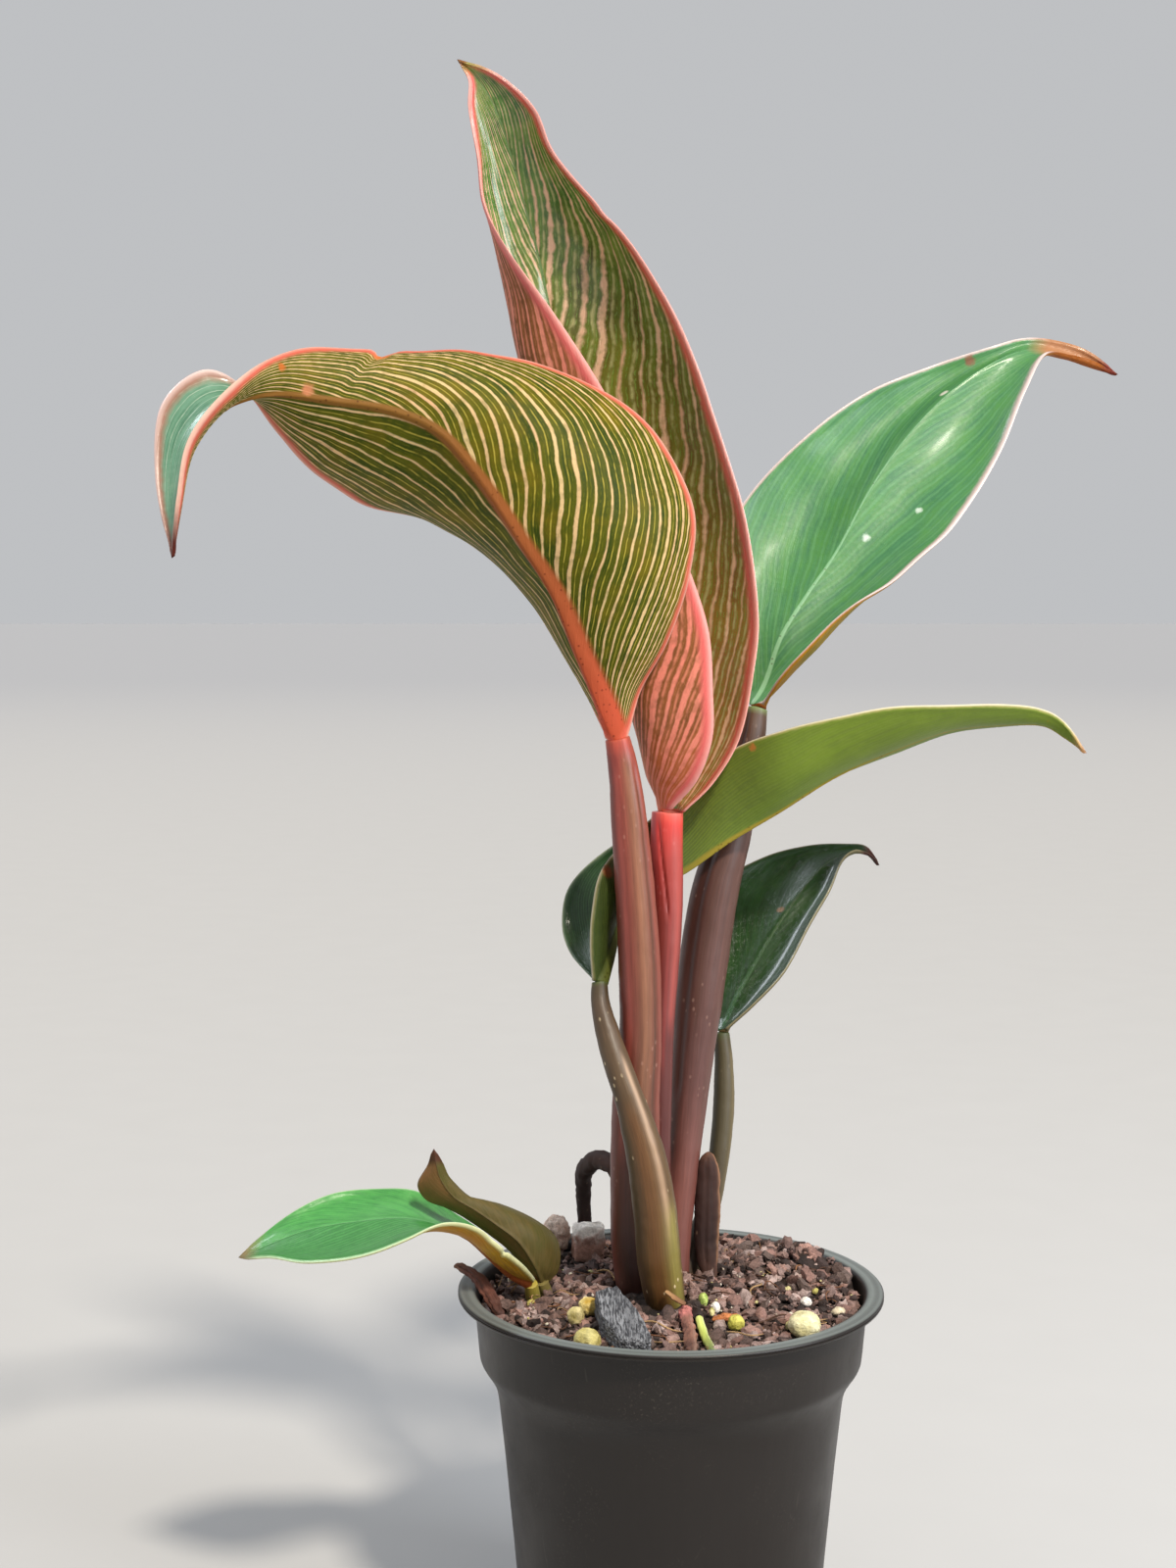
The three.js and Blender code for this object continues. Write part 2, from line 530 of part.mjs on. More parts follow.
// Everything on the mix, as [x, y], half sizes, how deep it is pressed in, turn and roughness
const loose = {
  pebble_large: [[28.2, -26.5], [3.5, 3, 2.9], 0.5, 0.4, 0.04],
  pebble_front: [[-19, -33], [2.9, 2.8, 2.8], 0.4, 0, 0.04],
  pebble_left: [[-18.5, -14], [2.4, 2, 2], 0.2, 0.3, 0.04],
  pebble_small: [[-21.5, -19], [1.9, 1.6, 1.9], 0.2, 0.2, 0.04],
  pebble_yellow: [[13.5, -24], [1.9, 1.7, 1.7], 0.2, 0.1, 0.03],
  perlite_bead: [[9.5, -15], [1.1, 1, 1.4], 0.2, 0, 0.02],
  perlite_grain: [[30.5, -7], [1.3, 1.2, 1.1], 0.1, 0, 0.02],
  perlite_chip: [[37, -14], [1.7, 1.3, 1], 0.1, 0.6, 0.05],
  coir_clod: [[-26.6, 31.3], [3.4, 3, 5], 0.4, 0.3, 0.05],
  bark_flake: [[11.5, -20], [3.4, 1.4, 0.9], 0, 0.5, 0.05],
  green_bud: [[7, -11], [1.1, 1.1, 1.8], 0.4, 0, 0.02],
};

const looseFinish = { pebble: 'pebble', perlite: 'perlite', coir: 'bark', bark: 'bark', green: 'paleRoot' };

function looseThing([[x, y], half, depth, turn, rough]) {
  return settled(lump([x, y, soilHeight(x, y) + half[2] - depth], half, turn, rough));
}

// The mix is cut clear of all that grows in it
function pottingMix() {
  const buried = Object.keys(stalks).map((name) => stalk(name, gap));
  return cut(potFill(), [stem(gap), sideStem(gap), aerialRoot(gap), bract(gap), ...buried]);
}

// Where stalks crowd together, each gives way to those named after it
const givesWay = {
  long: [],
  arching: ['long'],
  broad: ['long', 'arching'],
  tall: ['long', 'arching', 'broad'],
  dark: ['broad', 'arching', 'tall'],
  low: [],
  small: ['low'],
};

function fittedStalk(name) {
  const neighbours = givesWay[name].map((other) => stalk(other, gap));
  return cut(stalk(name), [stem(gap), sideStem(gap), blade(blades[name], gap), ...neighbours]);
}

const plant = new THREE.Group();

function place(name, geometry, material) {
  const mesh = new THREE.Mesh(geometry, finishes[material]);
  mesh.name = name;
  plant.add(mesh);
}

const bladeFinish = {
  arching: 'striped',
  tall: 'pinkStriped',
  broad: 'green',
  long: 'yellowGreen',
  dark: 'darkGreen',
  low: 'green',
  small: 'olive',
};
const stalkFinish = {
  arching: 'redStalk',
  tall: 'redStalk',
  broad: 'purpleStalk',
  long: 'oliveStalk',
  dark: 'oliveStalk',
  low: 'oliveStalk',
  small: 'oliveStalk',
};

place('nursery_pot', pot(), 'pot');
place('potting_mix', pottingMix(), 'mix');
place('stem', stem(), 'root');
place('side_stem', sideStem(), 'root');
for (const name of Object.keys(stalks)) {
  place(`stalk_${name}`, fittedStalk(name), stalkFinish[name]);
  place(`leaf_${name}`, blade(blades[name]), bladeFinish[name]);
}
place('aerial_root', cut(aerialRoot(), [stalk('arching', gap), stem(gap)]), 'root');
place('dry_bract', cut(bract(), [stalk('dark', gap), stalk('broad', gap), stem(gap)]), 'root');
place('root_stub', lyingRoot([[2.5, -17], [3, -24], [3.2, -32], [3, -39]], 1.3), 'root');
place('green_root', lyingRoot([[5.5, -21], [6.5, -28], [7.2, -34], [7.5, -40]], 0.9), 'paleRoot');
place('charcoal_chip', charcoalChip(), 'charcoal');
place('bark_stick', settled(tube(barkStickRows, 8, 0, 0.7)), 'bark');
place('white_rock', backRock(), 'rock');
for (const [name, row] of Object.entries(loose)) {
  place(name, looseThing(row), looseFinish[name.split('_')[0]]);
}

export default plant;
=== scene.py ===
# Looks of a young variegated philodendron in its nursery pot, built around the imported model
import bpy
import math
import random
from mathutils import Euler, Matrix, Vector, noise


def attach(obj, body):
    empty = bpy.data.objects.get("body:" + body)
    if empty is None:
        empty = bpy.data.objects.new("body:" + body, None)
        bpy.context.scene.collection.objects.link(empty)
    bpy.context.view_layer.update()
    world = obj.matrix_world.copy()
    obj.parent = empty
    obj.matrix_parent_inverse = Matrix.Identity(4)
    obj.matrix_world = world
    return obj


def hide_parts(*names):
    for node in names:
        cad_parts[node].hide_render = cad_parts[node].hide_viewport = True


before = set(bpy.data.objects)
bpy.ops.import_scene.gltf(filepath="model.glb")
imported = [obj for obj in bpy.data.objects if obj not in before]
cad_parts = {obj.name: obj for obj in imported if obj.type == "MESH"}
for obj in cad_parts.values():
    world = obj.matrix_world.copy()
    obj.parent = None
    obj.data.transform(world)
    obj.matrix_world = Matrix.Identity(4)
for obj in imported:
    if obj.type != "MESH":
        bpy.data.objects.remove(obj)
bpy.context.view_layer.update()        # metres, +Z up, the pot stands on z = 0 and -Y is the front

mm = 0.001


# Small helpers

def colour(hexCode, alpha=1):
    # sRGB hex to the linear values that shaders take
    parts = [int(hexCode[i:i + 2], 16) / 255 for i in (1, 3, 5)]
    return (*[c / 12.92 if c <= 0.04045 else ((c + 0.055) / 1.055) ** 2.4 for c in parts], alpha)


def newMaterial(name):
    # The material, and the small function that adds a node to it
    material = bpy.data.materials.new(name)
    material.use_nodes = True
    tree = material.node_tree
    tree.nodes.clear()

    def addNode(kind, settings, output=None):
        # Numbers and colours are set, sockets are linked, and anything else is a property of the node
        node = tree.nodes.new("ShaderNode" + kind)
        for key, value in settings.items():
            if not isinstance(key, int) and key not in node.inputs:
                setattr(node, key, value)
            elif isinstance(value, bpy.types.NodeSocket):
                tree.links.new(value, node.inputs[key])
            else:
                node.inputs[key].default_value = value
        if output is not None:
            return node.outputs[output]
        return next((socket for socket in node.outputs if socket.enabled), node)

    return material, addNode


def selectOnly(piece):
    bpy.ops.object.select_all(action="DESELECT")
    piece.select_set(True)
    bpy.context.view_layer.objects.active = piece


def named(name):
    piece = bpy.context.object
    piece.name = name
    piece.data.name = name
    return piece


def newGrid(columns, rows):
    # A flat unit grid, to be wrapped or bent into shape
    bpy.ops.object.select_all(action="DESELECT")
    bpy.ops.mesh.primitive_grid_add(x_subdivisions=columns, y_subdivisions=rows, size=1)
    return bpy.context.object


def blended(first, second, share):
    return [a + (b - a) * share for a, b in zip(first, second)]


def addTones(mesh, tones):
    mesh.attributes.new("tone", "FLOAT_COLOR", "POINT").data.foreach_set("color", tones)


def finishPiece(piece, slot, *nodes):
    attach(piece, "root")
    if nodes:
        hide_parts(*nodes)


def cleanUp(piece, distance=0.004 * mm, fill=False):
    # Merges seams and poles, closes open ends and turns the faces outwards
    selectOnly(piece)
    bpy.ops.object.mode_set(mode="EDIT")
    bpy.ops.mesh.select_all(action="SELECT")
    bpy.ops.mesh.remove_doubles(threshold=distance)
    if fill:
        bpy.ops.mesh.select_all(action="DESELECT")
        bpy.ops.mesh.select_non_manifold()
        bpy.ops.mesh.fill_holes(sides=0)
        bpy.ops.mesh.select_all(action="SELECT")
    bpy.ops.mesh.normals_make_consistent(inside=False)
    bpy.ops.object.mode_set(mode="OBJECT")


def between(rows, share):
    # Values between rows of numbers, on a smooth curve through them
    place = min(max(share, 0), 1) * (len(rows) - 1)
    i = min(int(place), len(rows) - 2)
    f = place - i
    here, there = rows[i], rows[i + 1]
    before = rows[i - 1] if i else [2 * a - b for a, b in zip(here, there)]
    after = rows[i + 2] if i + 2 < len(rows) else [2 * b - a for a, b in zip(here, there)]
    values = []
    for p, a, b, q in zip(before, here, there, after):
        leave, arrive = (b - p) / 2, (q - a) / 2
        bend = 2 * (a - b) + leave + arrive
        values.append(a + f * (leave + f * (b - a - leave - bend + f * bend)))
    return values


def headingAt(rows, share):
    # The way from just before a share of the rows to just after it
    return Vector(between(rows, share + 0.01)[:3]) - Vector(between(rows, share - 0.01)[:3])


def fade(value, low, high):
    t = min(max((value - low) / (high - low), 0), 1)
    return t * t * (3 - 2 * t)


# Camera, floor and light

print("camera, floor and light")
photoView = {
    "lens": 50,               # mm
    "longSide": 36,           # mm
    "place": (-18.9, -490.3, 236.6),  # mm
    "pitch": -4.28,           # degrees
}
camera = bpy.data.cameras.new("photo_view")
camera.lens = photoView["lens"]
camera.sensor_width = photoView["longSide"]
camera.clip_start = 0.01
cameraObject = bpy.data.objects.new("photo_view", camera)
cameraObject.location = Vector(photoView["place"]) * mm
cameraObject.rotation_euler = (math.radians(90 + photoView["pitch"]), 0, 0)
bpy.context.scene.collection.objects.link(cameraObject)
bpy.context.scene.camera = cameraObject
bpy.context.scene.view_settings.view_transform = "Standard"

studio = {
    "floor": "#b3b3b2",
    "farFloor": "#a0a2a6",     # so that the floor meets the air without an edge
    "farFrom": 0.3,            # metres from the pot, where the far tone starts
    "farTo": 9.0,
    "mottle": 30,              # mm, size of the roller's marks
    "air": "#eceef1",
    "airStrength": 0.62,
    # place and aim in metres, power, then a sun's softness in degrees or a softbox's size in metres
    "lamps": {
        "key_lamp": ("SUN", (0.42, -0.8, 1.05), (0, 0, 0), 3.15, 7, "#fff4e4"),
        "rim_lamp": ("SUN", (-0.8, 0.35, 0.85), (0, 0, 0), 1.0, 14, "#eef4ff"),
        "gloss_lamp": ("AREA", (0.72, -0.42, 0.46), (0, 0, 0.25), 5.5, 0.4, "#f4f8ff"),
    },
}


def floorPaint():
    # Matt painted board: even and pale, with the faint mottle of a roller
    material, addNode = newMaterial("matt pale floor paint")
    place = addNode("TexCoord", {}, "Object")
    mottle = addNode("TexNoise", {"Vector": place, "Scale": 1 / (studio["mottle"] * mm), "Detail": 3}, "Fac")
    shade = addNode("MapRange", {0: mottle, 3: 0.98, 4: 1.02})
    away = addNode("VectorMath", {"operation": "LENGTH", 0: place}, "Value")
    farShare = addNode("MapRange", {"interpolation_type": "SMOOTHSTEP", 0: away, 1: studio["farFrom"],
                                    2: studio["farTo"]})
    tone = addNode("Mix", {"data_type": "RGBA", 0: farShare, 6: colour(studio["floor"]),
                           7: colour(studio["farFloor"])}, 2)
    tone = addNode("Mix", {"data_type": "RGBA", "blend_type": "MULTIPLY", 0: 1.0, 6: tone, 7: shade}, 2)
    paint = addNode("BsdfPrincipled", {"Base Color": tone, "Roughness": 0.85})
    addNode("OutputMaterial", {"Surface": paint})
    return material


bpy.ops.object.select_all(action="DESELECT")
bpy.ops.mesh.primitive_circle_add(vertices=96, radius=200, fill_type="NGON", location=(0, 0, -0.4 * mm))
floor = named("floor")
floor.data.materials.append(floorPaint())

world = bpy.data.worlds.new("soft air")
world.use_nodes = True
air = world.node_tree.nodes["Background"]
air.inputs["Color"].default_value = colour(studio["air"])
air.inputs["Strength"].default_value = studio["airStrength"]
bpy.context.scene.world = world

for lampName, (kind, place, aim, power, spread, tint) in studio["lamps"].items():
    lamp = bpy.data.lights.new(lampName, kind)
    lamp.energy = power
    if kind == "SUN":
        lamp.angle = math.radians(spread)
    else:
        lamp.size = spread
    lamp.color = colour(tint)[:3]
    lampObject = bpy.data.objects.new(lampName, lamp)
    lampObject.location = place
    lampObject.rotation_euler = (Vector(place) - Vector(aim)).to_track_quat("Z", "Y").to_euler()
    bpy.context.scene.collection.objects.link(lampObject)


# Leaf blades

# Each row goes one step from base to tip, in mm: midrib, left margin, right margin, as seen from above
# with the tip pointing away, then how far each half bulges to the underside. They are the model's own rows,
# with the arching leaf's tip 0.2 mm narrower.
bladeRows = {
    "arching": [
        [-12.5, -6, 210.5, -10, -5, 211, -14.5, -5, 211, 0.5, 0.5],
        [-16.5, -10, 220.5, -7, -4, 221.5, -19.5, 4, 222, 2, 1.5],
        [-21, -15, 231, -0.8, -6, 233, -24.2, 12, 233, 4, 3],
        [-26, -20, 243, 3.8, -8, 247.5, -29.3, 18, 242, 6, 4],
        [-32.5, -25, 253, 4, -9, 262, -38, 18, 252.2, 7, 5],
        [-40.5, -30, 265, -4.8, -9, 278.6, -51.5, 9, 258.8, 7, 6],
        [-49.5, -36, 275.5, -20.5, -14, 288.5, -66, -4, 262, 6, 5],
        [-59, -41, 279.5, -41.5, -24, 293, -76.5, -20, 267.5, 4, 4],
        [-70.5, -45, 281, -62.5, -34, 292.5, -83.5, -33, 275.5, 3, 3],
        [-83, -48, 282, -78.5, -45, 291, -89.5, -40, 284.5, 2, 2],
        [-92.3, -51, 278.3, -89, -54, 283.8, -97.5, -42, 287.5, 1.5, 2],
        [-98, -54, 269.6, -97, -59, 273, -105.4, -45, 280, 1, 2],
        [-99.8, -56, 258.5, -99.8, -59, 261, -105.8, -50, 265.5, 0.5, 1],
        [-101.5, -56, 249, -101.5, -56.5, 249.5, -102, -55.5, 249.5, 0, 0],
    ],
    "tall": [
        [0, 9, 192.5, 0.5, 4, 194, 3, 5, 193.5, 2, 1],
        [-1, 14, 199, 6, 0, 201, 9.5, 6, 199.5, 8, 2],
        [-2.5, 17, 208, 9, -3, 210.5, 15.5, 7, 209, 11, 3],
        [-4.5, 19, 220, 9, -4, 221, 18.5, 8, 221, 13, 4],
        [-7.5, 20, 234, 8, -4, 234.5, 20, 9, 235, 13, 4],
        [-11.5, 21, 249.5, 3.5, -4, 248.5, 19, 9, 248.5, 14, 4],
        [-16, 21, 265, -3.5, -4, 264.5, 16, 8, 264, 14.3, 4],
        [-20.5, 20, 280.5, -11.5, -3, 280.5, 11, 7, 279.5, 13.3, 4],
        [-25, 19, 295.5, -19, -2, 293.5, 5.5, 6, 294.5, 12, 4],
        [-28, 17, 309.5, -28, 0, 307, -0.5, 6, 307.5, 9, 4],
        [-30.5, 15, 321, -37, 2, 319, -8, 5, 319.5, 6, 4],
        [-33.5, 12, 331.5, -42, 3, 329.5, -16.5, 4, 329, 3.5, 3],
        [-36.5, 9, 342, -43.5, 4, 340.5, -26, 3, 340, 2, 2],
        [-39.5, 6, 350.5, -45.5, 4, 350.5, -30.5, 2, 349.5, 1, 1.5],
        [-43.5, 5, 357, -45.5, 4, 356.5, -38, 3, 357, 0.5, 0.5],
        [-48, 4, 361, -48, 4, 360.5, -47.5, 4, 361.5, 0, 0],
    ],
    "broad": [
        [21, 28, 216, 20, 29, 216.5, 22.5, 26, 217, 0.3, 0.3],
        [24, 31, 223.5, 16, 33, 228.5, 26.5, 22, 224, 1, 3],
        [27.5, 34, 233, 13, 38, 243.5, 33, 22, 231.5, 2, 5],
        [34, 38, 243, 15, 44, 257.5, 43, 25, 239.5, 3, 5],
        [41.5, 42, 253.5, 23.5, 49, 271, 54, 30, 246, 4, 4],
        [50, 47, 268.5, 37.5, 54, 284.5, 65.6, 35, 255.6, 4, 4],
        [59, 52, 281, 52.5, 59, 294.5, 75.3, 42, 266.9, 4, 3],
        [69.5, 57, 292, 67.5, 63, 300.5, 83.2, 48, 280, 3, 3],
        [80.5, 61, 300, 82.5, 65, 305.5, 90, 55, 294.5, 2, 2],
        [91, 64, 304.5, 92.5, 67, 308, 95.5, 60, 303, 1, 1],
        [100, 65, 303.5, 101.5, 68, 307, 102, 62, 303, 1, 1],
        [108, 65, 300.5, 108, 67, 304.5, 107.5, 63, 302, 1, 1],
        [114.5, 64, 298.5, 114.5, 64.5, 299, 114.5, 63.5, 298.5, 0, 0],
    ],
    "long": [
        [-16, -3, 155, -17.5, 0, 155, -18, -5, 156, 0.3, 0.3],
        [-14, 1, 161.5, -23, 9, 160, -18.5, -6, 164, 2, 1],
        [-12.5, 6, 167, -25, 15, 166.5, -18, -6, 172, 3, 2],
        [-9, 9, 172, -23, 18, 175, -16, -3, 180.5, 3, 3],
        [-3.5, 12.5, 175.5, -14, 18, 183.5, -10, 8, 186.5, 2, 1],
        [4, 14.5, 179, -1, 19, 190, 1.5, 15, 195.5, 1, 0],
        [14, 14, 186, 12, 17.5, 197.5, 13.5, 11, 206.5, 1, 1],
        [25.5, 14, 192.8, 25, 22, 203.5, 25.5, 5, 211.8, 2, 3],
        [38.5, 16, 200.6, 39, 32, 207.5, 37.5, 3, 214.9, 3, 3],
        [52, 18, 206.4, 53.5, 37, 210.5, 50, 3, 217.2, 3, 3],
        [65.5, 19, 211.2, 67, 36, 213, 63.5, 6, 217.5, 2, 2],
        [77.5, 19, 212.5, 78.5, 31, 214.5, 76.5, 11, 217.5, 1.5, 1.5],
        [87, 18, 212.5, 87.5, 25, 214.5, 85.5, 14, 216.5, 1, 1],
        [92.5, 17, 209.5, 93, 20, 212, 91.5, 15, 213.5, 0.5, 0.5],
        [97, 15, 206, 97, 15.5, 206.5, 97, 14.5, 206.5, 0, 0],
    ],
    "dark": [
        [13, 24, 138.5, 12, 25, 139.5, 14, 22, 140, 0.2, 0.2],
        [16, 27, 145.5, 10, 31, 149.5, 20, 22, 145.5, 1, 1.5],
        [21, 31, 153.5, 9, 37, 161.5, 27.5, 24, 153, 2, 2],
        [27, 35, 162.5, 13.5, 43, 172, 33.5, 29, 162.5, 2, 2],
        [33.5, 39, 171, 24.5, 48, 178, 39.5, 34, 171, 2, 2],
        [39.5, 42, 177, 35.5, 48, 181, 43, 39, 178, 1, 1],
        [45.5, 44, 179.5, 45, 47, 181.5, 46.5, 42, 180.5, 0.5, 0.5],
        [50, 45, 179.5, 50, 46, 181, 50, 44, 179.5, 0.2, 0.2],
        [53, 44, 176.5, 53, 44.5, 177, 53, 43.5, 177, 0, 0],
    ],
    "low": [
        [-32, -1, 85, -31, -3, 87, -31, 1, 85.5, 0.2, 0.2],
        [-36.5, -4, 88.5, -33.5, -9, 92, -33.5, 5, 85.5, 1, 1],
        [-41, -7, 93.5, -38, -14, 97.5, -39, 9, 89.5, 1.5, 1.5],
        [-46, -9, 98.5, -43.5, -18, 103, -43.5, 12, 93.5, 1.5, 1.5],
        [-52.5, -10, 101.5, -50.5, -24, 105.5, -50.5, 11, 98.5, 1.5, 1.5],
        [-60.5, -10, 103, -59, -27, 102.5, -58.5, 4, 105.5, 1, 1.5],
        [-70.5, -9, 102, -70, -26, 98.5, -67.5, 4, 106, 1, 1],
        [-81, -8, 100, -81, -21, 96, -78, 1, 105.5, 1, 1],
        [-89.5, -8, 97, -90, -14, 95, -87.5, -3, 101.5, 0.5, 0.5],
        [-98, -7, 93, -98, -7.5, 92.5, -98, -6.5, 93.5, 0, 0],
    ],
    "small": [
        [-29.5, 3.5, 84, -27.5, 4.5, 84.5, -31.5, 4.5, 84.5, 0.3, 0.3],
        [-31.1, 1.5, 88.6, -25.5, 6, 87, -36, 4.5, 90.6, 1.2, 0.6],
        [-34.7, 0.5, 94.4, -26, 8, 92.5, -41.5, 5.5, 95.2, 2, 0.8],
        [-39.8, -0.5, 98.8, -31, 8, 97, -47, 4.5, 99.2, 2, 0.8],
        [-44.8, -2.5, 102.9, -39, 5, 101.5, -52, 1.5, 102.8, 1.6, 0.8],
        [-49.3, -5, 106.4, -45.5, 1, 104, -56, -2, 105.5, 1.2, 0.7],
        [-52.1, -7.5, 111.1, -50, -4, 110, -57.5, -5, 109.5, 0.5, 0.5],
        [-53, -9, 115, -51.5, -7, 114.5, -55, -7, 114.5, 0.2, 0.2],
        [-53.5, -9, 118.5, -53, -9, 118, -54, -9, 118, 0, 0],
    ],
}

# How a vein leaves the midrib: steep, slant, curl and hug. At a share along the blade, and at u from midrib
# to margin, its number is (steep * share - slant * u ** curl - hug * u ** 4) * count
usualVeins = (1, 0.4, 0.8, 0.12)
# What a leaf and its two skins are when they don't say. Sizes are the grid's steps to each side and along;
# notches are hand, share of the length, width, depth in mm
usualLeaf = {
    "veins": {-1: usualVeins, 1: usualVeins},
    "strengths": (0.25, 0.4, 0.55, 0.9, 1),    # of single veins, drawn at random
    "edgeScale": {-1: 1, 1: 1},                # over 1 narrows the coloured margin, under 1 widens it
    "notches": [],
}
usualSkin = {
    "secondWidth": 0.03,       # like width, a share of the way from vein to vein
    "fineShare": 0.3,          # strength of the fine lines
    "wobble": 0.3,             # how crooked the veins are
    "swell": (0.55, 1.35),     # how thin and how thick a vein gets
    "soft": 0.02,              # how blurred its sides are
    "footFrom": 0.02,
    "ribShare": 1,             # coloured width of the midrib, as a share of its real one
    "coat": 0,
    "gloss": 0.4,
    "spots": [],               # blemishes: place and radius in mm, colour
}
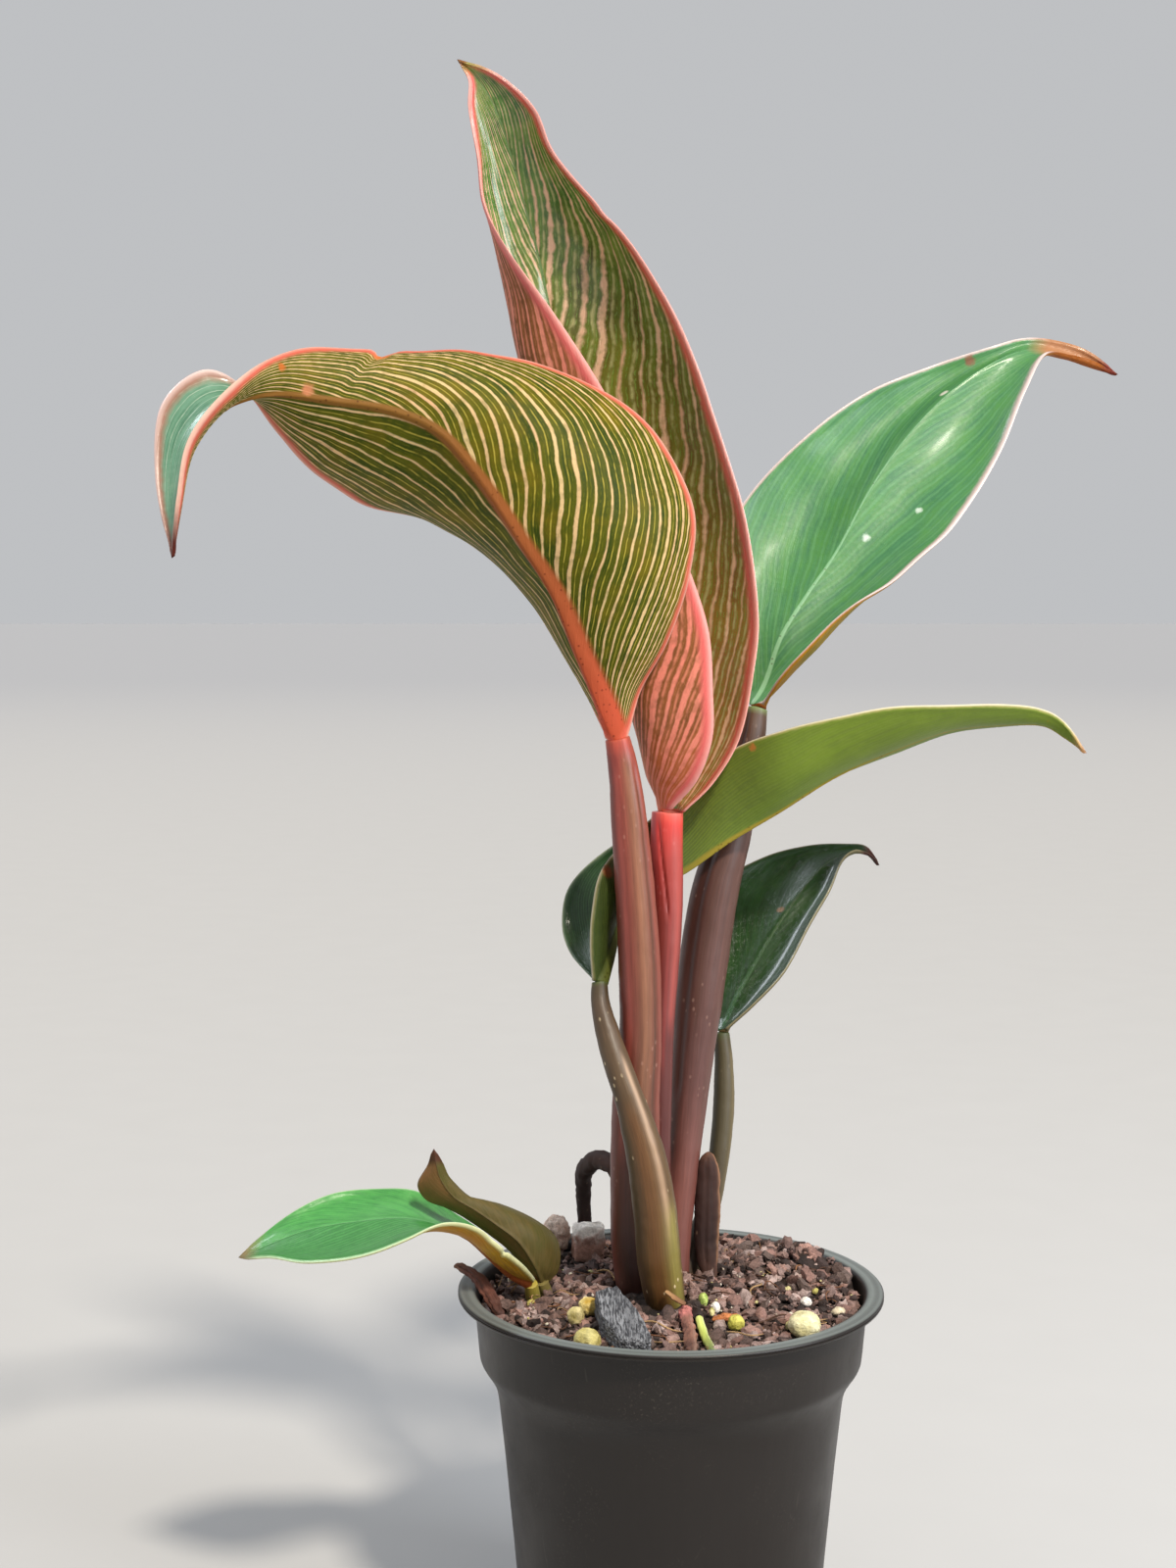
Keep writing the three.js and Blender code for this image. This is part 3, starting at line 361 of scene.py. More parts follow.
leaves = {
    "arching": {
        "slot": "striped_leaf", "size": (46, 210), "veins": {-1: usualVeins, 1: (0.27, 0.54, 1, 0)},
        "counts": {-1: 28, 1: 16}, "strengths": (0.55, 0.7, 0.7, 0.85, 1), "pitch": 2.9, "rib": (2.5, 0.35),
        "relief": 0.14, "ripple": 0.6, "seed": 3, "edgeScale": {-1: 0.7, 1: 0.45},
        "notches": [(-1, 0.606, 0.008, 3.0), (-1, 0.58, 0.02, 0.8)],
        "under": {
            "ground": "#62640a", "shade": "#3d4c06", "patch": "#84700e",
            "vein": "#fbe2a0", "veinPink": "#f8c092", "width": 0.13, "second": "#ccb84a",
            "secondWidth": 0.028, "fine": "#8c8a10", "fineShare": 0.35, "wobble": 0.16, "swell": (0.8, 1.2),
            "soft": 0.01,
            "rib": "#d05c3c", "ribEnd": "#96682a", "ribShare": 1.35, "margin": "#e8735c",
            "marginLight": "#fbd8c4", "marginWidth": 2.0, "tip": "#6b2f24", "tipFrom": 0.93,
            "roughness": 0.5, "gloss": 0.25, "glow": 0.4,
            "spots": [((-75.4, -46.4, 283.2), 1.3, "#e8956a"), ((-80.4, -48.4, 287.4), 0.8, "#e0782c"),
                      ((-61.5, -36.6, 291), 1.5, "#e8873c"), ((-64, -38, 289.5), 0.8, "#d98a3c")],
        },
        "upper": {
            "ground": "#74a68a", "shade": "#548a6c", "patch": "#93b89c",
            "vein": "#a9c8b0", "veinPink": "#b9d0b8", "width": 0.04, "second": "#84b090",
            "secondWidth": 0.02, "fine": "#7fae8c",
            "rib": "#c9dcbc", "ribEnd": "#b9b58e", "ribShare": 0.4, "margin": "#a87c68",
            "marginLight": "#efd3cc", "marginWidth": 1.5, "tip": "#6b2f24", "tipFrom": 0.95,
            "roughness": 0.3, "coat": 0.3, "gloss": 0.5, "glow": 0.15,
        },
    },
    "tall": {
        "slot": "pink_striped_leaf", "size": (46, 220), "counts": {-1: 21, 1: 15},
        "strengths": (0.35, 0.6, 0.8, 1, 1.2), "rib": (3.1, 0.35), "relief": 0.1, "ripple": 0.5, "seed": 8,
        "edgeScale": {-1: 1, 1: 0.7}, "notches": [(1, 0.72, 0.012, 0.5)],
        "under": {
            "ground": "#955a2c", "shade": "#7a4a22", "patch": "#a8643c", "foot": "#e0703c", "footTo": 0.16,
            "vein": "#f6a288", "veinPink": "#e67a68", "width": 0.23, "second": "#d88264",
            "secondWidth": 0.09, "fine": "#b8744a", "fineShare": 0.5, "wobble": 0.12, "swell": (0.7, 1.2),
            "soft": 0.03,
            "rib": "#ea8468", "ribEnd": "#b8705a", "margin": "#e8706a", "marginLight": "#f3aca2",
            "marginWidth": 2.2, "tip": "#8a5a1e", "tipFrom": 0.95,
            "roughness": 0.42, "coat": 0.05, "glow": 0.25,
        },
        "upper": {
            "ground": "#3f7a24", "shade": "#1f5218", "patch": "#6a8f2e", "foot": "#b06c3c", "footTo": 0.75,
            "vein": "#f2d2ac", "veinPink": "#e2a888", "width": 0.17, "second": "#b8b478",
            "secondWidth": 0.07, "fine": "#7a9a42", "fineShare": 0.7, "wobble": 0.25, "swell": (0.4, 1.4),
            "soft": 0.05, "plainFrom": 0.62,
            "rib": "#7f9a5c", "ribEnd": "#6f8f52", "ribShare": 0.35, "margin": "#e0605a",
            "marginLight": "#f2aca0", "marginWidth": 2.3, "tip": "#8fa02a", "tipFrom": 0.94,
            "roughness": 0.22, "coat": 0.5, "gloss": 0.6, "glow": 0.12,
            "spots": [((-48, 3.5, 361), 2.4, "#8a4a1c")],
        },
    },
    "broad": {
        "slot": "green_leaf", "size": (40, 170), "counts": {-1: 20, 1: 20}, "rib": (2.3, 0.35),
        "relief": 0.04, "ripple": 0.8, "seed": 5, "edgeScale": {-1: 2.4, 1: 0.8},
        "under": {
            "ground": "#bc9c14", "shade": "#8f8414", "patch": "#c88a1c",
            "vein": "#e0b83a", "veinPink": "#d08a2a", "width": 0.06, "second": "#c89c2a", "fine": "#b8901e",
            "fineShare": 0.4,
            "rib": "#b5602a", "ribEnd": "#a8503a", "margin": "#d88430", "marginLight": "#d8b8a8",
            "marginWidth": 0.5, "tip": "#b0641c", "tipFrom": 0.74,
            "roughness": 0.45, "coat": 0.05, "glow": 0.4,
            "spots": [((113.5, 66, 299.2), 4.5, "#7a1c16")],
        },
        "upper": {
            "ground": "#4e8a4a", "shade": "#3f7a50", "patch": "#50923c",
            "vein": "#68a468", "veinPink": "#5c9a6a", "width": 0.06, "second": "#50905a",
            "secondWidth": 0.04, "fine": "#559862", "fineShare": 0.25, "soft": 0.16,
            "rib": "#90c494", "ribEnd": "#74ac7a", "ribShare": 0.22, "margin": "#b9a8a0",
            "marginLight": "#e6d6d2", "marginWidth": 1.5, "tip": "#b07a50", "tipFrom": 0.75,
            "roughness": 0.42, "coat": 0.12, "gloss": 0.5, "glow": 0.15,
            "spots": [((113.5, 66, 299.2), 4.5, "#7a1c16"), ((70.3, 59.8, 293.2), 1.1, "#efe9dc"),
                      ((77.2, 64.6, 301.9), 1.4, "#8a5a44"), ((48.9, 43.8, 256.8), 1.0, "#d5e6da"),
                      ((62, 45.5, 263.5), 0.8, "#cfe2d2"), ((47.5, 44, 262), 0.6, "#cfe2c8")],
        },
    },
    "long": {
        "slot": "yellow_green_leaf", "size": (34, 190), "counts": {-1: 24, 1: 24}, "rib": (1.7, 0.3),
        "relief": 0.04, "ripple": 0.3, "seed": 6,
        "under": {
            # the greyer foot and its dimming are partly the blade's own darker base, partly painted shade
            "ground": "#768f28", "shade": "#70862c", "patch": "#80982a", "foot": "#4c5e34", "footFrom": 0.3,
            "footTo": 0.55, "dimFoot": 0.3,
            "vein": "#7f9630", "width": 0.04, "second": "#809538", "fine": "#84983c", "fineShare": 0.25,
            "soft": 0.16,
            "rib": "#8a9440", "ribEnd": "#a5902a", "margin": "#b8ae6c", "marginLight": "#e8dfc0",
            "marginWidth": 0.7, "tip": "#d9a070", "tipFrom": 0.95,
            "roughness": 0.45, "glow": 0.25,
            "spots": [((18.9, 8.2, 207.7), 0.9, "#c9803a"), ((64.7, 18, 211), 0.9, "#d0802c"),
                      ((-14.6, -2, 180.2), 1.5, "#8a4a28"), ((88, 16, 214), 0.8, "#c9803a")],
        },
        "upper": {
            "ground": "#2c4a28", "shade": "#243c24", "patch": "#34542e",
            "vein": "#4c7048", "width": 0.04, "second": "#436642", "fine": "#466b42",
            "rib": "#4f6a44", "ribEnd": "#8fa070", "ribShare": 0.4, "margin": "#54664a",
            "marginLight": "#8a947a", "marginWidth": 0.7, "tip": "#b07a50", "tipFrom": 0.93,
            "roughness": 0.32, "coat": 0.2, "gloss": 0.5, "glow": 0.12,
        },
    },
    "dark": {
        "slot": "dark_green_leaf", "size": (26, 110), "counts": {-1: 20, 1: 20}, "rib": (1.5, 0.3),
        "relief": 0.05, "ripple": 0.4, "seed": 9,
        "under": {
            "ground": "#4a4a24", "shade": "#33381c", "patch": "#54502a",
            "vein": "#5d5a30", "width": 0.05, "second": "#514f28", "fine": "#514f28",
            "rib": "#6b5a38", "ribEnd": "#5a4030", "margin": "#6b6040", "marginLight": "#8a7f5c",
            "marginWidth": 0.7, "tip": "#4a2a22", "tipFrom": 0.8,
            "roughness": 0.5, "glow": 0.1,
        },
        "upper": {
            "ground": "#1f3c14", "shade": "#182f10", "patch": "#28481a",
            "vein": "#20401c", "width": 0.06, "second": "#1e3c1a", "fine": "#1e3c1a", "soft": 0.16,
            "rib": "#28502a", "ribEnd": "#384a2a", "ribShare": 0.4, "margin": "#57523a",
            "marginLight": "#807c5c", "marginWidth": 0.5, "tip": "#5a3428", "tipFrom": 0.84,
            "roughness": 0.34, "coat": 0.3, "glow": 0.08,
            "spots": [((28.2, 37.9, 166.2), 0.9, "#7a5a3a")],
        },
    },
    "low": {
        "slot": "green_leaf", "size": (28, 120), "counts": {-1: 18, 1: 18}, "rib": (1.3, 0.3),
        "relief": 0.05, "ripple": 0.4, "seed": 11,
        "notches": [(-1, 0.203, 0.008, 1.6), (-1, 0.27, 0.02, 0.5)],
        "under": {
            "ground": "#dcae30", "shade": "#b07a1c", "patch": "#d0851f",
            "vein": "#d6b45c", "veinPink": "#d09a48", "width": 0.07, "second": "#bf9a44",
            "secondWidth": 0.04, "fine": "#b08f3a", "fineShare": 0.4,
            "rib": "#a8562a", "ribEnd": "#a8703a", "ribShare": 1.3, "margin": "#dcd490",
            "marginLight": "#eef0c0", "marginWidth": 1.4, "tip": "#8a5a30", "tipFrom": 0.92,
            "roughness": 0.45, "coat": 0.05, "glow": 0.3,
        },
        "upper": {
            # the darker near half is painted shade, and the very dark foot is painted shadow of the small
            # leaf over the base
            "ground": "#4ea04c", "shade": "#3a8440", "patch": "#62b060", "half": (-1, "#2c7032", 0.75),
            "foot": "#26300f", "footFrom": 0.22, "footTo": 0.42,
            "vein": "#5cab5a", "width": 0.06, "second": "#56a656", "fine": "#52a256", "soft": 0.16,
            "rib": "#7cbc7a", "ribEnd": "#6cb06c", "ribShare": 0.3, "margin": "#8ec084",
            "marginLight": "#c4dcb0", "marginWidth": 0.8, "tip": "#8a7a50", "tipFrom": 0.93,
            "roughness": 0.34, "coat": 0.2, "gloss": 0.5, "glow": 0.15,
        },
    },
    "small": {
        "slot": "olive_leaf", "size": (26, 100), "counts": {-1: 18, 1: 18}, "rib": (0.6, 0.15),
        "relief": 0.04, "ripple": 0.3, "seed": 12,
        "under": {
            # the browner half is painted to hide the green light bounced into that half's shade
            "ground": "#6e5f34", "shade": "#5e562c", "patch": "#585c2a", "half": (1, "#a8704a", 0.9),
            "vein": "#726438", "width": 0.04, "second": "#6a5e36", "fine": "#6e6038", "fineShare": 0.25,
            "soft": 0.16,
            "rib": "#6a5c34", "ribEnd": "#6a5234", "ribShare": 0.5, "margin": "#6a5a34",
            "marginLight": "#74603c", "marginWidth": 0.5, "tip": "#5a3828", "tipFrom": 0.86,
            "roughness": 0.5, "glow": 0.25,
            "spots": [((-46, -6, 104), 0.5, "#4a3a20")],
        },
        "upper": {
            "ground": "#5e5830", "shade": "#4c5a2c", "patch": "#55552e",
            "vein": "#64603a", "width": 0.04, "second": "#605a36", "fine": "#625a38", "fineShare": 0.25,
            "soft": 0.16,
            "rib": "#605c38", "ribEnd": "#665a38", "ribShare": 0.3, "margin": "#665a38",
            "marginLight": "#76684a", "marginWidth": 0.5, "tip": "#5a3828", "tipFrom": 0.86,
            "roughness": 0.4, "coat": 0.1, "glow": 0.15,
        },
    },
}

# Patterns in the leaf skin: size in mm, detail, roughness
leafPatterns = {
    "patch": (16, 4, 0.65),   # clouds of another green
    "crook": (4.2, 2, 0.5),   # how the veins wander
    "breaks": (2.6, 2, 0.5),  # faint stretches in the veins
    "swell": (2.2, 3, 0.5),   # thicker and thinner stretches of a vein
    "shake": (1.6, 1, 0.5),   # how the fine lines wander
    "dash": (1.1, 2, 0.5),    # dashes that the fine lines are broken into
    "grain": (0.7, 2, 0.5),   # the cuticle's fine grain
}


def leafSkin(name, look):
    # Waxy cuticle over green tissue: satin gloss, pale veins a little proud of the skin, a paler thick margin
    # with a painted highlight along its very edge
    material, addNode = newMaterial(name)
    place = addNode("TexCoord", {}, "Object")
    vein, strength, rib, edge, along = [addNode("Attribute", {"attribute_name": word}, "Fac")
                                        for word in ("vein", "strength", "rib", "edge", "along")]
    pattern = {word: addNode("TexNoise", {"Vector": place, "Scale": 1 / (size * mm), "Detail": detail,
                                          "Roughness": roughness}, "Fac")
               for word, (size, detail, roughness) in leafPatterns.items()}

    # ground tone, clouded along the veins and in patches; each layer is a mask and what it paints
    stretched = addNode("Math", {"operation": "MULTIPLY", 0: along, 1: 9.0})
    strand = addNode("CombineXYZ", {0: vein, 1: stretched})
    cloud = addNode("TexNoise", {"Vector": strand, "Scale": 1.3, "Detail": 3, "Roughness": 0.6}, "Fac")
    cloudMask = addNode("MapRange", {0: cloud, 1: 0.4, 2: 0.62})
    patchMask = addNode("MapRange", {0: pattern["patch"], 1: 0.48, 2: 0.66, 4: 0.8})
    layers = [(cloudMask, colour(look["shade"])), (patchMask, colour(look["patch"]))]
    # one half of the blade painted another tone for how light falls on it: painted shade on the low leaf's
    # near half, and a browner tint on the small leaf's half that hides the green light bounced into its shade
    if "half" in look:
        hand, shadedHalfColour, amount = look["half"]
        side = addNode("Attribute", {"attribute_name": "hand"}, "Fac")
        shadedHalfShare = addNode("MapRange", {0: side, 1: -0.5 * hand, 2: 0.8 * hand, 4: amount})
        layers.append((shadedHalfShare, colour(shadedHalfColour)))
    # a tone towards the foot: the blade's own colour on most leaves, painted shadow on the low leaf, and
    # partly painted shade on the long leaf
    if "foot" in look:
        footShare = addNode("MapRange", {0: along, 1: look["footFrom"], 2: look["footTo"], 3: 0.9, 4: 0})
        layers.append((footShare, colour(look["foot"])))

    # fine lines between the veins, broken into dashes
    shaken = addNode("Math", {"operation": "MULTIPLY_ADD", 0: pattern["shake"], 1: 0.16, 2: vein})
    fineNumber = addNode("Math", {"operation": "MULTIPLY", 0: shaken, 1: 5.0})
    fineOff = addNode("Math", {"operation": "PINGPONG", 0: fineNumber, 1: 0.5})
    dashMask = addNode("MapRange", {0: pattern["dash"], 1: 0.42, 2: 0.58})
    fineLine = addNode("MapRange", {0: fineOff, 1: 0.22, 2: 0.08})
    fineMask = addNode("Math", {"operation": "MULTIPLY", 0: fineLine, 1: dashMask})
    fineShare = addNode("Math", {"operation": "MULTIPLY", 0: fineMask, 1: look["fineShare"]})
    layers.append((fineShare, colour(look["fine"])))

    # second veins, halfway between the main ones, all a hair crooked
    crooked = addNode("Math", {"operation": "MULTIPLY_ADD", 0: pattern["crook"], 1: look["wobble"], 2: vein})
    centred = addNode("Math", {"operation": "SUBTRACT", 0: crooked, 1: look["wobble"] / 2})
    off = addNode("Math", {"operation": "PINGPONG", 0: centred, 1: 0.5})
    thin, thick = look["swell"]
    swelling = addNode("MapRange", {0: pattern["swell"], 1: 0.3, 2: 0.7, 3: thin, 4: thick})
    secondOff = addNode("Math", {"operation": "SUBTRACT", 0: 0.5, 1: off})
    secondHalf = addNode("Math", {"operation": "MULTIPLY", 0: swelling, 1: look["secondWidth"]})
    secondDepth = addNode("Math", {"operation": "SUBTRACT", 0: secondHalf, 1: secondOff})
    secondLine = addNode("MapRange", {0: secondDepth, 1: -0.03 - look["soft"], 2: 0.015 + look["soft"]})
    secondGaps = addNode("MapRange", {0: pattern["breaks"], 1: 0.36, 2: 0.52, 3: 0.15, 4: 0.95})
    secondMask = addNode("Math", {"operation": "MULTIPLY", 0: secondLine, 1: secondGaps})
    layers.append((secondMask, colour(look["second"])))

    # main veins, partly pink
    if "plainFrom" in look:
        # towards the tip the stripes run out into plain green
        plain = addNode("MapRange", {0: along, 1: look["plainFrom"], 2: look["plainFrom"] + 0.25,
                                     3: 1, 4: 0.3})
        strength = addNode("Math", {"operation": "MULTIPLY", 0: strength, 1: plain})
    wide = addNode("Math", {"operation": "MULTIPLY", 0: strength, 1: look["width"]})
    half = addNode("Math", {"operation": "MULTIPLY", 0: wide, 1: swelling})
    depth = addNode("Math", {"operation": "SUBTRACT", 0: half, 1: off})
    veinLine = addNode("MapRange", {0: depth, 1: -0.03 - look["soft"], 2: 0.02 + look["soft"]})
    veinGaps = addNode("MapRange", {0: pattern["breaks"], 1: 0.32, 2: 0.5, 3: 0.6, 4: 1.0})
    veinMask = addNode("Math", {"operation": "MULTIPLY", 0: veinLine, 1: veinGaps})
    pinkness = addNode("TexNoise", {"Vector": strand, "Scale": 0.7, "Detail": 1}, "Fac")
    veinTone = addNode("Mix", {"data_type": "RGBA", 0: pinkness, 6: colour(look["vein"]),
                               7: colour(look.get("veinPink", look["vein"]))}, 2)
    layers.append((veinMask, veinTone))

    # midrib with pale dots, margin with a painted highlight along its edge, and tip
    ribShift = addNode("MapRange", {0: along, 1: 0.05, 2: 0.5})
    ribTone = addNode("Mix", {"data_type": "RGBA", 0: ribShift, 6: colour(look["rib"]),
                              7: colour(look["ribEnd"])}, 2)
    dots = addNode("TexVoronoi", {"Vector": place, "Scale": 1 / (1.5 * mm)}, "Distance")
    dotMask = addNode("MapRange", {0: dots, 1: 0.22, 2: 0.1, 4: 0.6})
    ribTone = addNode("Mix", {"data_type": "RGBA", "blend_type": "MULTIPLY", 0: dotMask, 6: ribTone,
                              7: colour("#8a5a3a")}, 2)
    ribMask = addNode("MapRange", {0: rib, 1: look["ribShare"] * 1.2, 2: look["ribShare"] * 0.75})
    uneven = addNode("Math", {"operation": "MULTIPLY_ADD", 0: pattern["swell"], 1: 0.6, 2: edge})
    edgeMask = addNode("MapRange", {0: uneven, 1: look["marginWidth"] + 0.35, 2: look["marginWidth"] * 0.7})
    # the pale rim at the blade's very edge is a painted highlight
    rimHighlightMask = addNode("MapRange", {0: edge, 1: look["marginWidth"] * 0.5, 2: 0.1})
    tipMask = addNode("MapRange", {0: along, 1: look["tipFrom"], 2: look["tipFrom"] + 0.05})
    layers += [(ribMask, ribTone), (edgeMask, colour(look["margin"])), (rimHighlightMask, colour(look["marginLight"])),
               (tipMask, colour(look["tip"]))]

    tone = colour(look["ground"])
    for mask, paint in layers:
        tone = addNode("Mix", {"data_type": "RGBA", 0: mask, 6: tone, 7: paint}, 2)
    # the foot of the blade multiplied darker: painted shade
    if "dimFoot" in look:
        dim = addNode("MapRange", {0: along, 1: look["dimFoot"], 2: look["dimFoot"] + 0.1, 3: 0.45, 4: 1})
        tone = addNode("Mix", {"data_type": "RGBA", "blend_type": "MULTIPLY", 0: 1.0, 6: tone, 7: dim}, 2)
    for centre, radius, spotColour in look["spots"]:
        away = addNode("VectorMath", {"operation": "DISTANCE", 0: place, 1: Vector(centre) * mm}, "Value")
        size = radius * mm
        ragged = addNode("Math", {"operation": "MULTIPLY_ADD", 0: pattern["dash"], 1: 1.2 * size, 2: away})
        spotMask = addNode("MapRange", {0: ragged, 1: 1.9 * size, 2: 1.2 * size, 4: 0.9})
        tone = addNode("Mix", {"data_type": "RGBA", 0: spotMask, 6: tone, 7: colour(spotColour)}, 2)

    # gloss, and the relief of veins, grain and cells
    cells = addNode("TexVoronoi", {"Vector": place, "Scale": 1 / (1.3 * mm)}, "Distance")
    rough = addNode("MapRange", {0: pattern["grain"], 3: look["roughness"] - 0.06,
                                 4: look["roughness"] + 0.1})
    veinRise = addNode("Math", {"operation": "MULTIPLY_ADD", 0: veinMask, 1: 0.6, 2: fineShare})
    grainRise = addNode("Math", {"operation": "MULTIPLY_ADD", 0: pattern["grain"], 1: 0.3, 2: veinRise})
    rise = addNode("Math", {"operation": "MULTIPLY_ADD", 0: cells, 1: 0.5, 2: grainRise})
    skinBump = addNode("Bump", {"Height": rise, "Distance": 0.12 * mm, "Strength": 0.5})
    skin = addNode("BsdfPrincipled", {
        "Base Color": tone, "Roughness": rough, "Normal": skinBump, "IOR": 1.45,
        "Specular IOR Level": look["gloss"], "Coat Weight": look["coat"], "Coat Roughness": 0.14})
    glow = addNode("BsdfTranslucent", {"Color": tone})
    leafShader = addNode("MixShader", {0: look["glow"], 1: skin, 2: glow})
    addNode("OutputMaterial", {"Surface": leafShader})
    return material


# The blade's section, in mm unless a share is named
bladeForm = {
    "skin": 0.22,             # half the thickness
    "bead": 0.24,             # added to it along the margin
    "beadIn": 0.7,            # from the edge to the middle of the bead
    "beadHalf": 0.6,
    "ribUnder": 0.75,         # height of the midrib, as a share of its half width
    "ribOver": 0.5,
    "groove": 0.22,           # depth along the midrib's upper side
    "veinHalf": 0.16,         # half width of a raised vein, as a share of the way to the next
    "tipFrom": 0.03,          # share of the length over which the tip closes
}


def acrossSteps(columns):
    # Shares from midrib to margin, closer together at both, where the rib and the margin's bead are
    start = [0, 0.012, 0.028, 0.048, 0.075]
    end = [0.93, 0.962, 0.982, 0.993, 1]
    middle = columns - len(start) - len(end) + 1
    return start + [start[-1] + (end[0] - start[-1]) * (k + 1) / middle for k in range(middle - 1)] + end


def halfCurves(leaf, row, midrib, ahead, share):
    # For each hand: the point that bends the half, its margin, and its length from midrib to margin
    taper = min(1, math.sqrt(max(0, 1 - share) / bladeForm["tipFrom"]))
    halves = {}
    for hand, first, bulge in ((-1, 3, row[9]), (1, 6, row[10])):
        chord = (Vector(row[first:first + 3]) - midrib) * taper
        for notchHand, notchShare, notchWidth, notchDepth in leaf["notches"]:
            if notchHand == hand:
                pull = notchDepth * math.exp(-((share - notchShare) / notchWidth) ** 2)
                chord -= chord.normalized() * min(pull, chord.length * 0.5)
        margin = midrib + chord
        upward = (chord.cross(ahead) * hand).normalized()
        middle = (midrib + margin) / 2 - upward * 2 * bulge * taper
        waist = (midrib + middle * 2 + margin) / 4
        halves[hand] = (middle, margin, (waist - midrib).length + (margin - waist).length)
    return halves


def veinNumber(leaf, hand, share, u, spot):
    steep, slant, curl, hug = leaf["veins"][hand]
    number = (steep * share - slant * u ** curl - hug * u ** 4) * leaf["counts"][hand]
    return number + 0.25 * noise.noise(spot / 9)


def veinPitch(leaf, hand, u, length, pace):
    # From vein to vein, in mm
    steep, slant, curl, hug = leaf["veins"][hand]
    across = (slant * curl * max(u, 0.05) ** (curl - 1) + 4 * hug * u ** 3) / max(length, 1)
    return 1 / (leaf["counts"][hand] * math.hypot(across, steep / max(pace, 1)))


def skinHeights(leaf, share, fromRib, fromEdge, ribHalf, ribReach, off, strength):
    # How far the upper side and the underside stand from the blade's middle sheet
    form = bladeForm
    ridge = leaf["relief"] * strength * math.exp(-(off / form["veinHalf"]) ** 2)
    ridge *= fade(fromEdge, 0.8, 3) * fade(share, 0.02, 0.15) * (1 - fade(share, 0.8, 0.97))
    thick = form["skin"] + form["bead"] * math.exp(-((fromEdge - form["beadIn"]) / form["beadHalf"]) ** 2)
    thick *= math.sqrt(min(1, max(0, fromEdge / form["beadHalf"])))
    ribShape = max(0, 1 - (fromRib / ribReach) ** 2) ** 0.7
    ribHeight = form["ribUnder"] * ribHalf * (1 - 0.5 * fade(share, 0.5, 1))
    groove = form["groove"] * math.exp(-(fromRib / (0.5 * ribHalf + 0.2)) ** 2) * fade(share, 0.03, 0.12)
    swell = form["ribOver"] * ribHalf * ribShape * (1 - fade(share, 0, 0.07))
    return thick - 0.5 * ridge - groove + swell, thick + ridge + ribHeight * ribShape


def bladeSpots(name, leaf):
    # Place and facts of every grid point on both sides, worked out from midrib to margin, step by step
    rows = bladeRows[name]
    halfColumns, stepCount = leaf["size"]
    shares = acrossSteps(halfColumns)
    chance = random.Random(leaf["seed"])
    strengths = [chance.choice(leaf["strengths"]) for _ in range(200)]
    spots = {}
    for step in range(stepCount + 1):
        share = step / stepCount
        row = between(rows, share)
        midrib = Vector(row[:3])
        ahead = headingAt(rows, share)
        pace = ahead.length / 0.02
        ahead.normalize()
        ribHalf = leaf["rib"][0] * (1 - share) ** 2.2 + leaf["rib"][1]
        halves = halfCurves(leaf, row, midrib, ahead, share)
        crest = sum((((middle - midrib).cross(ahead) * hand).normalized()
                     for hand, (middle, margin, length) in halves.items()), Vector()).normalized()
        for hand, (middle, margin, length) in halves.items():
            ribReach = min(ribHalf, length * 0.98 + 0.01)
            for index, u in enumerate(shares):
                spot = midrib * (1 - u) ** 2 + middle * 2 * u * (1 - u) + margin * u * u
                slope = (middle - midrib) * (1 - u) + (margin - middle) * u
                fromRib, fromEdge = u * length, (1 - u) * length
                face = crest.lerp((slope.cross(ahead) * hand).normalized(),
                                  fade(fromRib, 0.3 * ribHalf, 1.6 * ribHalf + 0.3)).normalized()
                number = veinNumber(leaf, hand, share, u, spot)
                strength = strengths[round(number) + 100]
                pitch = veinPitch(leaf, hand, u, length, pace)
                shown = strength * min(1.3, max(0.45, leaf.get("pitch", pitch) / pitch))
                waves = noise.noise(spot / 14) * leaf["ripple"] * fade(u, 0.1, 0.9)
                waves *= fade(share, 0, 0.15) * (1 - fade(share, 0.75, 1))
                over, under = skinHeights(leaf, share, fromRib, fromEdge, ribHalf, ribReach,
                                          abs(number - round(number)), strength)
                column = (len(shares) - 1) + hand * index
                facts = (number, shown, fromRib / ribHalf, fromEdge * leaf["edgeScale"][hand], share, hand)
                spots[step, column, 1] = ((spot + face * (waves + over)) * mm, facts)
                spots[step, column, -1] = ((spot + face * (waves - under)) * mm, facts)
    return spots


